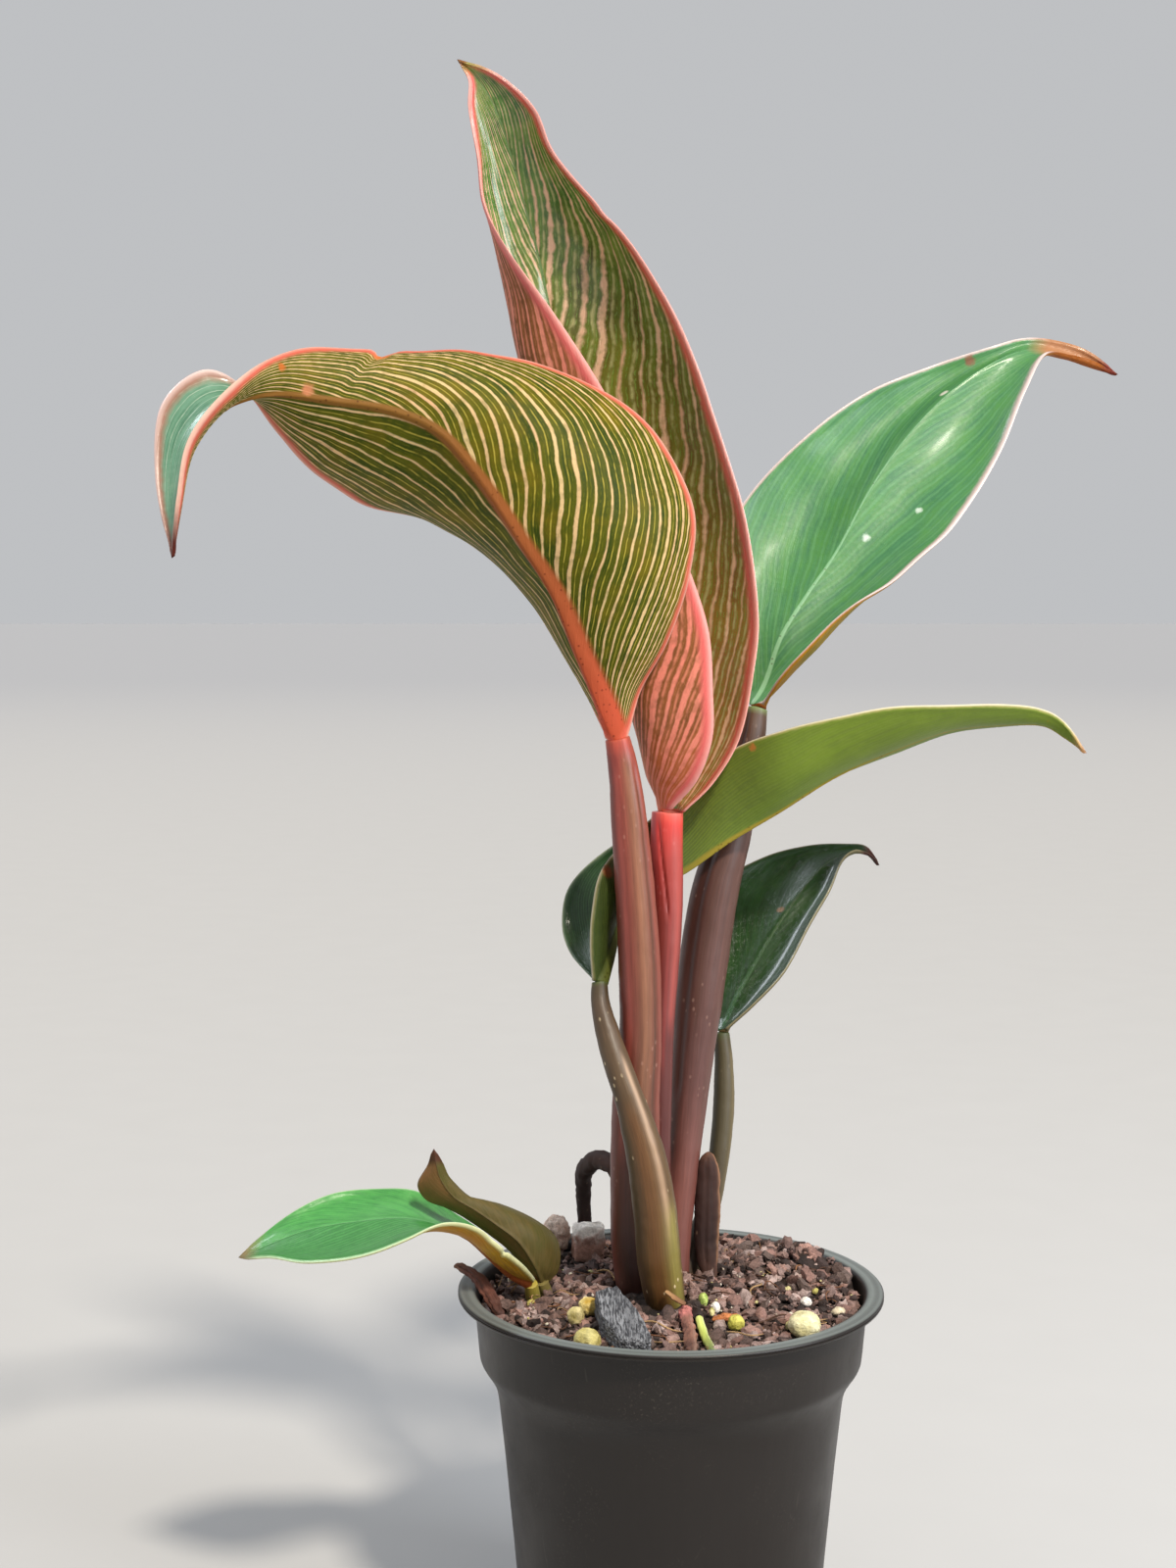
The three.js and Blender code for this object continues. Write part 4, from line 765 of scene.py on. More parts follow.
def makeBlade(name, leaf):
    spots = bladeSpots(name, leaf)
    columns = 2 * (len(acrossSteps(leaf["size"][0])) - 1)
    stepCount = leaf["size"][1]
    newGrid(columns, stepCount)
    blade = named("blade_" + name)
    bpy.ops.object.mode_set(mode="EDIT")
    bpy.ops.mesh.extrude_region_move(TRANSFORM_OT_translate={"value": (0, 0, -1)})
    bpy.ops.object.mode_set(mode="OBJECT")

    mesh = blade.data
    places = [0.0] * (3 * len(mesh.vertices))
    words = ("vein", "strength", "rib", "edge", "along", "hand", "side")
    values = {word: [0.0] * len(mesh.vertices) for word in words}
    for vertex in mesh.vertices:
        i = vertex.index
        side = 1 if vertex.co.z > -0.5 else -1
        key = (round((vertex.co.y + 0.5) * stepCount), round((vertex.co.x + 0.5) * columns), side)
        spot, facts = spots[key]
        places[3 * i:3 * i + 3] = spot
        for word, value in zip(words, (*facts, side)):
            values[word][i] = value
    mesh.vertices.foreach_set("co", places)
    for word, numbers in values.items():
        mesh.attributes.new(word, "FLOAT", "POINT").data.foreach_set("value", numbers)
    mesh.materials.append(leafSkin(name + " leaf, upper side: glossy cuticle", leaf["upper"]))
    mesh.materials.append(leafSkin(name + " leaf, underside: satin cuticle", leaf["under"]))
    side = values["side"]
    for face in mesh.polygons:
        face.material_index = 0 if sum(side[v] for v in face.vertices) > 3.5 else 1
    cleanUp(blade)
    bpy.ops.object.shade_smooth()
    finishPiece(blade, leaf["slot"], "leaf_" + name)


for name, leaf in leaves.items():
    print("blade", name)
    leaf = {**usualLeaf, **leaf, **{side: {**usualSkin, **leaf[side]} for side in ("under", "upper")}}
    makeBlade(name, leaf)


# Round pieces: stalks, roots and sticks

usualTube = {"facing": (0, -1, 0), "flat": 1, "twist": 0, "grooves": [], "stripes": [], "denseEnds": False}


def mixTones(tones, share):
    # Colour at a share of the length, from (share, hex) pairs
    for (low, first), (high, second) in zip(tones, tones[1:]):
        if share <= high:
            return blended(colour(first), colour(second), min(max((share - low) / (high - low), 0), 1))
    return list(colour(tones[-1][1]))


def bandShare(degrees, turn, width, share, start, end, soft):
    # How much of a lengthwise band reaches this angle and share: 1 in its middle, 0 outside
    off = (degrees - turn + 180) % 360 - 180
    lengthwise = fade(share, start, start + soft) * (1 - fade(share, end - soft, end))
    return math.exp(-(off / width) ** 2) * lengthwise


def tubeRings(rows, steps, look, facing):
    # For each ring: centre, radius, front, right, share of the rows, run in mm, and what an end leaves of it
    path = [Vector(between(rows, k / 100)[:3]) for k in range(101)]
    runs = [0]
    for a, b in zip(path, path[1:]):
        runs.append(runs[-1] + (b - a).length)
    length = runs[-1]
    roundTop, roundFoot = look["ends"]
    rings = []
    for step in range(steps + 1):
        f = step / steps
        run = length * (0.5 - 0.5 * math.cos(math.pi * f)) if look["denseEnds"] else length * f
        k = min(next((i for i in range(100) if runs[i + 1] >= run), 99), 99)
        share = (k + (run - runs[k]) / max(runs[k + 1] - runs[k], 1e-6)) / 100
        row = between(rows, share)
        ahead = headingAt(rows, share).normalized()
        front = Vector(facing)
        front = (front - ahead * front.dot(ahead)).normalized()
        narrow = 1.0
        if roundTop and run < roundTop:
            narrow = math.sqrt(max(0, 1 - (1 - run / roundTop) ** 2))
        if roundFoot and length - run < roundFoot:
            narrow = math.sqrt(max(0, 1 - (1 - (length - run) / roundFoot) ** 2))
        rings.append((Vector(row[:3]), row[3], front, front.cross(ahead), share, run, narrow))
    return rings


def makeTube(name, rows, look):
    # A grid wrapped round the rows [x, y, z, radius] in mm. Angles are measured from the side it faces,
    # towards the right; both ends are rounded off over a length given in the look.
    look = {**usualTube, **look}
    around, steps = look["size"]
    newGrid(around, steps)
    tube = named(name)
    rings = tubeRings(rows, steps, look, look["facing"])
    noiseSize, noiseHeight = look["lumps"]
    mesh = tube.data
    count = len(mesh.vertices)
    places, rounds, tones = [0.0] * (3 * count), [0.0] * (3 * count), [0.0] * (4 * count)
    for vertex in mesh.vertices:
        i = vertex.index
        spot, radius, front, right, share, run, narrow = rings[round((vertex.co.y + 0.5) * steps)]
        degrees = (round((vertex.co.x + 0.5) * around) / around) * 360 - 180
        angle = math.radians(degrees)
        reach = radius
        for turn, width, start, end, depth in look["grooves"]:
            reach -= depth * bandShare(degrees, turn + look["twist"] * share, width, share, start, end, 0.05)
        way = front * math.cos(angle) * look["flat"] + right * math.sin(angle)
        bare = spot + way * reach
        reach += noiseHeight * noise.fractal(bare / noiseSize, 0.7, 2.0, 3)
        places[3 * i:3 * i + 3] = (spot + way * max(reach, 0.1) * narrow) * mm
        rounds[3 * i:3 * i + 3] = (radius * math.cos(angle), radius * math.sin(angle), run)
        tone = mixTones(look["tones"], share)
        for turn, width, start, end, stripe, strength in look["stripes"]:
            f = strength * bandShare(degrees, turn, width, share, start, end, 0.08)
            tone = blended(tone, colour(stripe), f)
        tones[4 * i:4 * i + 4] = tone
    mesh.vertices.foreach_set("co", places)
    mesh.attributes.new("round", "FLOAT_VECTOR", "POINT").data.foreach_set("vector", rounds)
    addTones(mesh, tones)
    cleanUp(tube, fill=True)
    bpy.ops.object.shade_smooth_by_angle(angle=math.radians(50))
    return tube


def stalkSkin(name, look):
    # Fleshy stalk: satin skin over fine lengthwise fibres, with a few raised pale pores
    material, addNode = newMaterial(name)
    tone = addNode("Attribute", {"attribute_name": "tone"}, "Color")
    wrap = addNode("Attribute", {"attribute_name": "round"}, "Vector")      # mm round the stalk and along it
    stretched = addNode("Mapping", {"Vector": wrap, "Scale": (1, 1, 0.045)})
    fibre = addNode("TexNoise", {"Vector": stretched, "Scale": 1.5, "Detail": 4, "Roughness": 0.65}, "Fac")
    broadBand = addNode("TexNoise", {"Vector": stretched, "Scale": 0.45, "Detail": 1}, "Fac")
    light = addNode("MapRange", {0: fibre, 1: 0.3, 2: 0.7, 3: 1 - look["fibre"], 4: 1 + look["fibre"]})
    band = addNode("MapRange", {0: broadBand, 1: 0.3, 2: 0.7, 3: 1 - look["fibre"] * 0.6,
                                4: 1 + look["fibre"] * 0.6})
    light = addNode("Math", {"operation": "MULTIPLY", 0: light, 1: band})
    tone = addNode("Mix", {"data_type": "RGBA", "blend_type": "MULTIPLY", 0: 1.0, 6: tone, 7: light}, 2)
    squashed = addNode("Mapping", {"Vector": wrap, "Scale": (1, 1, 0.6)})
    pores = addNode("TexVoronoi", {"Vector": squashed, "Scale": 0.55, "Randomness": 1.0}, "Distance")
    poreDots = addNode("MapRange", {0: pores, 1: 0.2, 2: 0.1})
    patches = addNode("TexNoise", {"Vector": wrap, "Scale": 0.12, "Detail": 1}, "Fac")
    poreShare = addNode("MapRange", {0: patches, 1: 0.5, 2: 0.6, 4: look["pores"]})
    poreMask = addNode("Math", {"operation": "MULTIPLY", 0: poreDots, 1: poreShare})
    tone = addNode("Mix", {"data_type": "RGBA", 0: poreMask, 6: tone, 7: colour(look["pore"])}, 2)
    rough = addNode("MapRange", {0: fibre, 3: look["roughness"] - 0.08, 4: look["roughness"] + 0.12})
    rise = addNode("Math", {"operation": "MULTIPLY_ADD", 0: poreMask, 1: 1.5, 2: fibre})
    bump = addNode("Bump", {"Height": rise, "Distance": 0.12 * mm, "Strength": 0.7})
    skin = addNode("BsdfPrincipled", {"Base Color": tone, "Roughness": rough, "Normal": bump, "IOR": 1.45,
                                      "Coat Weight": look["coat"], "Coat Roughness": 0.3})
    addNode("OutputMaterial", {"Surface": skin})
    return material


# From the blade down into the mix, as the model has them: [x, y, z, radius] in mm
stalkRows = {
    "arching": [
        [-12.5, -6, 211.2, 2.7], [-11, -5.5, 203.5, 3.4], [-10, -5.5, 195, 3.9], [-8.5, -5, 178, 4.4],
        [-7.5, -4.5, 162.5, 4.7], [-7, -3.5, 144.5, 4.8], [-8, -2, 126.5, 5.4], [-8, -1, 110, 5.8],
        [-8, -1, 94, 5.6], [-7, -1, 83, 5], [-5, 0, 76, 4],
    ],
    "tall": [
        [-0.6, 8.2, 193.5, 3.6], [-0.9, 8, 183.5, 3.8], [-0.7, 7.5, 170, 3.6], [-1.3, 6.5, 156, 3.2],
        [-2, 5.3, 143, 2.9], [-2.3, 4.8, 128, 2.7], [-2.2, 4.5, 108, 2.4], [-1.5, 4, 84, 2.2],
    ],
    "broad": [
        [21.2, 28.2, 216.5, 2.7], [19, 26, 205, 3.8], [15.2, 23, 187, 4.7], [11.6, 21, 175, 5.5],
        [9.2, 19.5, 162, 5.8], [7.4, 17.5, 149, 5.6], [5.8, 15.5, 136, 5], [4.5, 13.8, 123, 4.4],
        [3.2, 12, 110, 4], [1.8, 9.8, 95, 3.6], [1, 7, 80, 3.5],
    ],
    "long": [
        [-16.3, -2.7, 155.6, 1.8], [-16, -4.5, 150.5, 2.2], [-14.5, -7.5, 144.5, 2.7], [-12, -10.5, 137, 3.1],
        [-9, -12.5, 128.5, 3.5], [-6, -13, 117.5, 4.4], [-4, -12.5, 105.5, 4.9], [-3, -12, 94, 4.9],
        [-1.5, -10, 84, 4.4], [-1, -6, 77, 3.5],
    ],
    "dark": [
        [13, 24.2, 139, 1.7], [13.5, 23, 131.5, 2.2], [13.5, 21.5, 123.5, 2.5], [12.5, 19, 112, 2.5],
        [10.5, 17, 101, 2.5], [8, 16, 93, 2.7], [4.5, 14, 84, 2.8], [2, 9, 77, 2.5],
    ],
    "low": [[-32, -1.4, 85.6, 1.5], [-31.5, 1, 81, 1.7], [-30.5, 2.5, 74, 1.8]],
    "small": [[-29.6, 3.1, 84.6, 1.4], [-28.5, 4.5, 80, 1.6], [-28.5, 4, 74, 1.8]],
}

# size is the steps around and along; tones run from the blade to the mix; stripes are angle, half width,
# start, end, colour, strength; grooves are angle, half width, start, end, depth in mm
shortStalk = {"slot": "olive_stalk", "size": (32, 24), "ends": (0.4, 0), "lumps": (5, 0.08), "fibre": 0.1,
              "roughness": 0.45, "coat": 0.05, "pores": 0.2, "pore": "#e0cfa0"}
stalks = {
    "arching": {
        "slot": "red_stalk", "size": (72, 190), "ends": (0.8, 0), "lumps": (9, 0.12), "fibre": 0.2,
        "roughness": 0.42, "coat": 0.1, "pores": 0.15, "pore": "#d8b0a0",
        # darker towards the mix: the stalk's own colour, deepened by painted shadow at its foot
        "tones": [(0, "#c8603c"), (0.012, "#a84636"), (0.06, "#8c3a32"), (0.3, "#78342a"), (0.5, "#682c22"),
                  (0.68, "#52251c"), (0.82, "#3a1c15"), (1, "#2e1813")],
        # the dark stripe at -70 degrees is painted shade on the stalk's left side
        "stripes": [(16, 24, 0.02, 0.8, "#835a42", 0.85), (46, 8, 0.1, 0.8, "#4e321e", 0.8),
                    (72, 18, -0.1, 0.85, "#88493a", 0.7), (-34, 8, 0.05, 0.7, "#9c4c42", 0.6),
                    (-70, 22, 0, 0.9, "#5f2a24", 0.7), (-150, 40, 0.1, 1.1, "#7a5a3a", 0.6)],
        "grooves": [(48, 8, 0.06, 0.85, 0.35), (-5, 7, 0.15, 0.9, 0.12), (170, 14, 0.0, 0.8, 0.9)],
    },
    "tall": {
        "slot": "red_stalk", "size": (60, 150), "ends": (0.8, 0), "lumps": (8, 0.08), "fibre": 0.1,
        "roughness": 0.38, "coat": 0.2, "pores": 0.1, "pore": "#e8a8a0",
        "tones": [(0, "#f0a494"), (0.012, "#e65c50"), (0.05, "#c83e38"), (0.16, "#a03630"), (0.32, "#7a302a"),
                  (0.6, "#5c2622"), (1, "#44201c")],
        "stripes": [(-60, 24, -0.1, 0.3, "#9c3038", 0.7), (40, 20, 0.05, 0.6, "#b05048", 0.5),
                    (10, 8, 0.2, 0.7, "#8f3430", 0.5), (160, 50, 0, 1.1, "#985040", 0.6)],
        "grooves": [(-42, 5, 0.02, 0.32, 0.45), (175, 16, 0, 0.8, 0.7)], "twist": 150,
    },
    "broad": {
        "slot": "purple_stalk", "size": (72, 170), "ends": (0.8, 0), "lumps": (10, 0.12), "fibre": 0.17,
        "roughness": 0.45, "coat": 0.06, "pores": 0.25, "pore": "#b08c7c",
        "tones": [(0, "#7f9a5c"), (0.02, "#523a29"), (0.15, "#482e24"), (0.4, "#52342d"), (0.65, "#583631"),
                  (0.85, "#70423a"), (1, "#60342b")],
        # the dark stripes at -45 and -8 degrees are painted shade on the stalk's left half
        "stripes": [(-45, 26, 0, 0.85, "#35170f", 0.92), (-8, 8, 0, 0.6, "#4a2a1e", 0.6),
                    (55, 16, 0.1, 0.8, "#64463e", 0.5), (170, 50, 0, 1.1, "#544c2c", 0.6)],
        "grooves": [(-40, 10, 0.0, 0.7, 0.6), (178, 16, 0, 0.8, 1.0)],
    },
    "long": {
        "slot": "olive_stalk", "size": (64, 150), "ends": (0.6, 0), "lumps": (8, 0.14), "fibre": 0.17,
        "roughness": 0.45, "coat": 0.08, "pores": 0.8, "pore": "#dcc7a0",
        "tones": [(0, "#52662f"), (0.03, "#443926"), (0.12, "#483828"), (0.35, "#52402c"), (0.6, "#563f22"),
                  (0.85, "#56421d"), (1, "#4e411c")],
        # the pale stripe at 34 degrees is a painted highlight on the right edge; the dark one at -60 degrees
        # is painted shade on the left
        "stripes": [(-8, 24, 0.4, 0.98, "#66401f", 0.65), (34, 10, 0.28, 0.75, "#b8987a", 0.7),
                    (48, 22, 0.62, 1.1, "#8a8040", 0.85), (-60, 28, 0.3, 1.1, "#3e2814", 0.85)],
        "grooves": [(170, 16, 0, 0.8, 0.7)],
    },
    "dark": {
        "slot": "olive_stalk", "size": (48, 110), "ends": (0.5, 0), "lumps": (7, 0.1), "fibre": 0.12,
        "roughness": 0.5, "coat": 0.05, "pores": 0.2, "pore": "#a8987a",
        "tones": [(0, "#3c4626"), (0.05, "#463e28"), (0.4, "#463e28"), (0.75, "#463626"), (1, "#3a2a1e")],
        # the pale stripe at 60 degrees is painted light on the right edge; the dark one at -50 degrees is
        # painted shade on the left
        "stripes": [(60, 20, 0.05, 0.9, "#6c5f40", 0.6), (-50, 26, 0, 0.9, "#2a2618", 0.8)],
        "grooves": [(175, 18, 0, 0.8, 0.35)],
    },
    "low": {**shortStalk, "tones": [(0, "#a8983e"), (0.4, "#8c8440"), (1, "#6a5a34")]},
    "small": {**shortStalk, "tones": [(0, "#7c7040"), (0.4, "#8a8048"), (1, "#6a5a34")]},
}

for name, look in stalks.items():
    print("stalk", name)
    stalk = makeTube("stalkSkin_" + name, stalkRows[name], look)
    stalk.data.materials.append(stalkSkin(name + " stalk: fleshy, finely ribbed skin", look))
    finishPiece(stalk, look["slot"], "stalk_" + name)


# Nursery pot

print("pot")
pot = {
    "segments": 192,
    # outside from the foot up, over the lip and down inside: radius, height in mm
    "profile": [
        (32.2, 0), (33.1, 0.25), (33.7, 0.8), (33.85, 1.5), (34.3, 6), (36.0, 25), (37.9, 45), (39.3, 58),
        (39.6, 60.2), (39.9, 61.6), (40.4, 63.1), (41.3, 64.9), (42.3, 66.4), (43.0, 67.4), (43.45, 68.2),
        (43.7, 68.9), (43.8, 69.6), (43.95, 71), (44.4, 76), (44.85, 81), (44.95, 82.2), (45.15, 82.7),
        (45.6, 82.88), (47.0, 82.92), (48.1, 82.95), (48.5, 83.1), (48.68, 83.4), (48.68, 83.6),
        (48.5, 83.72), (48.5, 83.8), (48.68, 83.95), (48.65, 84.2), (48.4, 84.45), (48.0, 84.57),
        (47.4, 84.5), (46.8, 84.5), (46.2, 84.6), (45.4, 84.58), (44.9, 84.4), (44.5, 84.0), (44.2, 83.3),
        (43.9, 81.8), (43.3, 76), (42.75, 70), (42.5, 69), (41.9, 67.8), (40.7, 66.1), (39.5, 64.2),
        (38.8, 62.4), (38.3, 60), (36.8, 45), (34.9, 25), (33.1, 4), (32.6, 2.2), (31.7, 1.4), (30.5, 1.2),
    ],
    "holes": 8,
    "holeRadius": 3,
    "holeCircle": 24,
    "plastic": "#1a1512",
    "scuff": "#5c554d",
    # painted highlight along the top of the lip
    "lipHighlight": "#98a29f",
    "lipHighlightFrom": 84.3,         # mm, height where the painted highlight along the lip starts
    "lipHighlightTo": 84.6,
    "roughness": 0.4,
}


def potPlastic():
    # Injection-moulded polypropylene, dark brown: satin, with faint streaks from the mould, dust and scuffs,
    # and a painted highlight along the lip
    material, addNode = newMaterial("moulded dark brown polypropylene")
    place = addNode("TexCoord", {}, "Object")
    streakPlace = addNode("Mapping", {"Vector": place, "Scale": (1, 1, 0.08)})
    streak = addNode("TexNoise", {"Vector": streakPlace, "Scale": 1 / (1.8 * mm), "Detail": 3}, "Fac")
    cloud = addNode("TexNoise", {"Vector": place, "Scale": 1 / (18 * mm), "Detail": 4,
                                 "Roughness": 0.6}, "Fac")
    speck = addNode("TexNoise", {"Vector": place, "Scale": 1 / (0.6 * mm), "Detail": 2}, "Fac")
    light = addNode("MapRange", {0: streak, 3: 0.88, 4: 1.12})
    tone = addNode("Mix", {"data_type": "RGBA", "blend_type": "MULTIPLY", 0: 1.0,
                           6: colour(pot["plastic"]), 7: light}, 2)
    dustPatch = addNode("MapRange", {0: cloud, 1: 0.5, 2: 0.75})
    dustDots = addNode("MapRange", {0: speck, 1: 0.58, 2: 0.72, 4: 0.35})
    dust = addNode("Math", {"operation": "MULTIPLY", 0: dustPatch, 1: dustDots})
    scratchPlace = addNode("Mapping", {"Vector": place, "Rotation": (0.5, 0.3, 0.4), "Scale": (1, 14, 1)})
    scratch = addNode("TexNoise", {"Vector": scratchPlace, "Scale": 1 / (9 * mm), "Detail": 1}, "Fac")
    scratchLine = addNode("MapRange", {0: scratch, 1: 0.74, 2: 0.78, 4: 0.12})
    height = addNode("SeparateXYZ", {0: place}, "Z")
    # a pale band along the top of the lip: painted highlight
    lipHighlightMask = addNode("MapRange", {0: height, 1: pot["lipHighlightFrom"] * mm, 2: pot["lipHighlightTo"] * mm, 4: 0.5})
    for mask, paint in ((dust, "scuff"), (scratchLine, "scuff"), (lipHighlightMask, "lipHighlight")):
        tone = addNode("Mix", {"data_type": "RGBA", 0: mask, 6: tone, 7: colour(pot[paint])}, 2)
    rough = addNode("MapRange", {0: cloud, 1: 0.3, 2: 0.7, 3: pot["roughness"] - 0.06,
                                 4: pot["roughness"] + 0.12})
    rise = addNode("Math", {"operation": "MULTIPLY_ADD", 0: speck, 1: 0.4, 2: streak})
    bump = addNode("Bump", {"Height": rise, "Distance": 0.04 * mm, "Strength": 0.5})
    plastic = addNode("BsdfPrincipled", {"Base Color": tone, "Roughness": rough, "Normal": bump, "IOR": 1.49,
                                         "Specular IOR Level": 0.4})
    addNode("OutputMaterial", {"Surface": plastic})
    return material


def drainDrills():
    # One cylinder through the base for each drain hole, joined to one object
    drills = []
    for k in range(pot["holes"]):
        angle = 2 * math.pi * (k + 0.5) / pot["holes"]
        reach = pot["holeCircle"] * mm
        bpy.ops.object.select_all(action="DESELECT")
        bpy.ops.mesh.primitive_cylinder_add(vertices=32, radius=pot["holeRadius"] * mm, depth=8 * mm,
                                            location=(reach * math.cos(angle), reach * math.sin(angle), 0))
        drills.append(bpy.context.object)
    for drill in drills:
        drill.select_set(True)
    bpy.context.view_layer.objects.active = drills[0]
    bpy.ops.object.join()
    return bpy.context.object


def makePot():
    radius, height = pot["profile"][0]
    bpy.ops.object.select_all(action="DESELECT")
    bpy.ops.mesh.primitive_circle_add(vertices=pot["segments"], radius=radius * mm, fill_type="NGON",
                                      location=(0, 0, height * mm))
    shell = named("nurseryPot")
    bpy.ops.object.mode_set(mode="EDIT")
    bpy.ops.mesh.select_mode(type="EDGE")
    bpy.ops.mesh.select_all(action="SELECT")
    for nextRadius, nextHeight in pot["profile"][1:]:
        # the first ring leaves its face behind as the pot's underside
        bpy.ops.mesh.extrude_edges_move(TRANSFORM_OT_translate={"value": (0, 0, (nextHeight - height) * mm)})
        bpy.ops.transform.resize(value=(nextRadius / radius, nextRadius / radius, 1),
                                 center_override=(0, 0, nextHeight * mm))
        radius, height = nextRadius, nextHeight
    bpy.ops.mesh.edge_face_add()
    bpy.ops.object.mode_set(mode="OBJECT")
    cleanUp(shell)
    drill = drainDrills()
    selectOnly(shell)
    bpy.ops.object.modifier_add(type="BOOLEAN")
    cut = shell.modifiers[-1]
    cut.operation = "DIFFERENCE"
    cut.object = drill
    cut.solver = "EXACT"
    bpy.ops.object.modifier_apply(modifier=cut.name)
    bpy.data.objects.remove(drill)
    selectOnly(shell)
    bpy.ops.object.shade_smooth_by_angle(angle=math.radians(40))
    shell.data.materials.append(potPlastic())
    finishPiece(shell, "pot_plastic", "nursery_pot")


makePot()


# Potting mix

print("potting mix")
mix = {
    "edge": 80.5,             # mm, height at the wall
    "wallRadius": 43,
    "walls": [(30.0, 1.6), (32.0, 2.6), (34.3, 25), (36.2, 45), (37.9, 61), (40.3, 66.6), (42.1, 69.6),
              (42.9, 76)],    # radius and height up the pot's inside
    "around": 200,
    "topRings": 56,
    # at the stalks and at the right: x, y, height and reach squared
    "rises": [(-2, -3, 4.5, 400), (32, 17, 3, 260)],
    "slopes": (0.03, 0.06),   # up to the right and to the back
    # the dark ground tone is partly the moist mix's own colour and partly painted shade in the hollows; the
    # lighter one lies on the raised tops
    "ground": "#1c1512",
    "groundRaised": "#463730",
    # sizes run from the smallest to that plus spread; the higher the rarity, the fewer large ones
    "crumbs": {"count": 2500, "size": 0.42, "spread": 1.5, "rarity": 2.5, "masters": 10, "roundness": 0.62},
    "pile": (27, 17, 1.6, 190),         # where crumbs lie on each other, as in rises
    "crumbTones": ["#342a27", "#463835", "#5a4842", "#6a544d", "#77605a", "#86706a", "#a08c86", "#8a7068",
                   "#665650", "#7f625a", "#94746a"],
    "grit": {"count": 85, "size": 0.25, "spread": 0.75, "rarity": 3, "masters": 3, "roundness": 0.7},
    "gritTones": ["#d6cdb8", "#c4b878", "#b5a594", "#dcd4c6", "#a8a05a", "#c9c088"],
    "fibres": {"count": 110, "size": 4, "spread": 7, "rarity": 1, "masters": 4, "within": 39},
    "fibreTones": ["#6e4a34", "#8a6040", "#4d3426", "#a88860"],
    "fibreHalf": 0.022,       # half a fibre's width, as a share of its length
}
# where the crumbs keep clear: x, y, radius in mm
standing = [(-7.5, -1, 6.5), (-2, -11.5, 5.8), (1.2, 8, 4.2), (-1.5, 4, 3), (5, 14.5, 3.4), (9, 10, 3),
            (-19.5, 34.5, 2.2), (-31, 2, 2.2), (-28.5, 4.5, 2.2)]
lying = [(28.2, -26.5, 3.4), (-19, -33, 2.8), (-18.5, -14, 2.2), (-21.5, -19, 1.9), (13.5, -24, 1.8),
         (9.5, -15, 1.2), (30.5, -7, 1.4), (37, -14, 1.7), (-18.8, 28, 4.4), (-26.6, 31.3, 3.4),
         (7, -11, 1.4), (11.5, -20, 2.8), (-9.5, -36, 4.2), (-11, -27, 4.5), (-13, -19, 4.2),
         (2.7, -22, 1.6), (3.1, -31, 1.6), (6.2, -26, 1.2), (7.2, -35, 1.2), (-40, -10, 2.2)]


def riseAt(rise, x, y):
    middleX, middleY, height, reach = rise
    return height * math.exp(-((x - middleX) ** 2 + (y - middleY) ** 2) / reach)


def mixHeight(x, y):
    waves = 0.5 * math.sin(x / 4) * math.sin(y / 3.5 + 1) + 0.35 * math.sin((x + y) / 2.6)
    right, back = mix["slopes"]
    rises = sum(riseAt(rise, x, y) for rise in mix["rises"])
    return mix["edge"] + rises + back * max(0, y) + right * max(0, x) + waves


def crumbSkin(name, roughness, shade):
    # Moist bark and coir crumbs: matt, mottled and full of fine pores
    material, addNode = newMaterial(name)
    place = addNode("TexCoord", {}, "Object")
    tone = addNode("Attribute", {"attribute_name": "tone"}, "Color")
    fine = addNode("TexNoise", {"Vector": place, "Scale": 1 / (0.45 * mm), "Detail": 3,
                                "Roughness": 0.7}, "Fac")
    patch = addNode("TexNoise", {"Vector": place, "Scale": 1 / (2.5 * mm), "Detail": 2}, "Fac")
    fineLight = addNode("MapRange", {0: fine, 1: 0.25, 2: 0.75, 3: 1 - shade, 4: 1 + shade})
    patchLight = addNode("MapRange", {0: patch, 1: 0.3, 2: 0.7, 3: 0.8, 4: 1.25})
    for light in (fineLight, patchLight):
        tone = addNode("Mix", {"data_type": "RGBA", "blend_type": "MULTIPLY", 0: 1.0, 6: tone, 7: light}, 2)
    rough = addNode("MapRange", {0: patch, 3: roughness - 0.15, 4: roughness + 0.05})
    bump = addNode("Bump", {"Height": fine, "Distance": 0.35 * mm, "Strength": 0.9})
    crumb = addNode("BsdfPrincipled", {"Base Color": tone, "Roughness": rough, "Normal": bump, "IOR": 1.4})
    addNode("OutputMaterial", {"Surface": crumb})
    return material


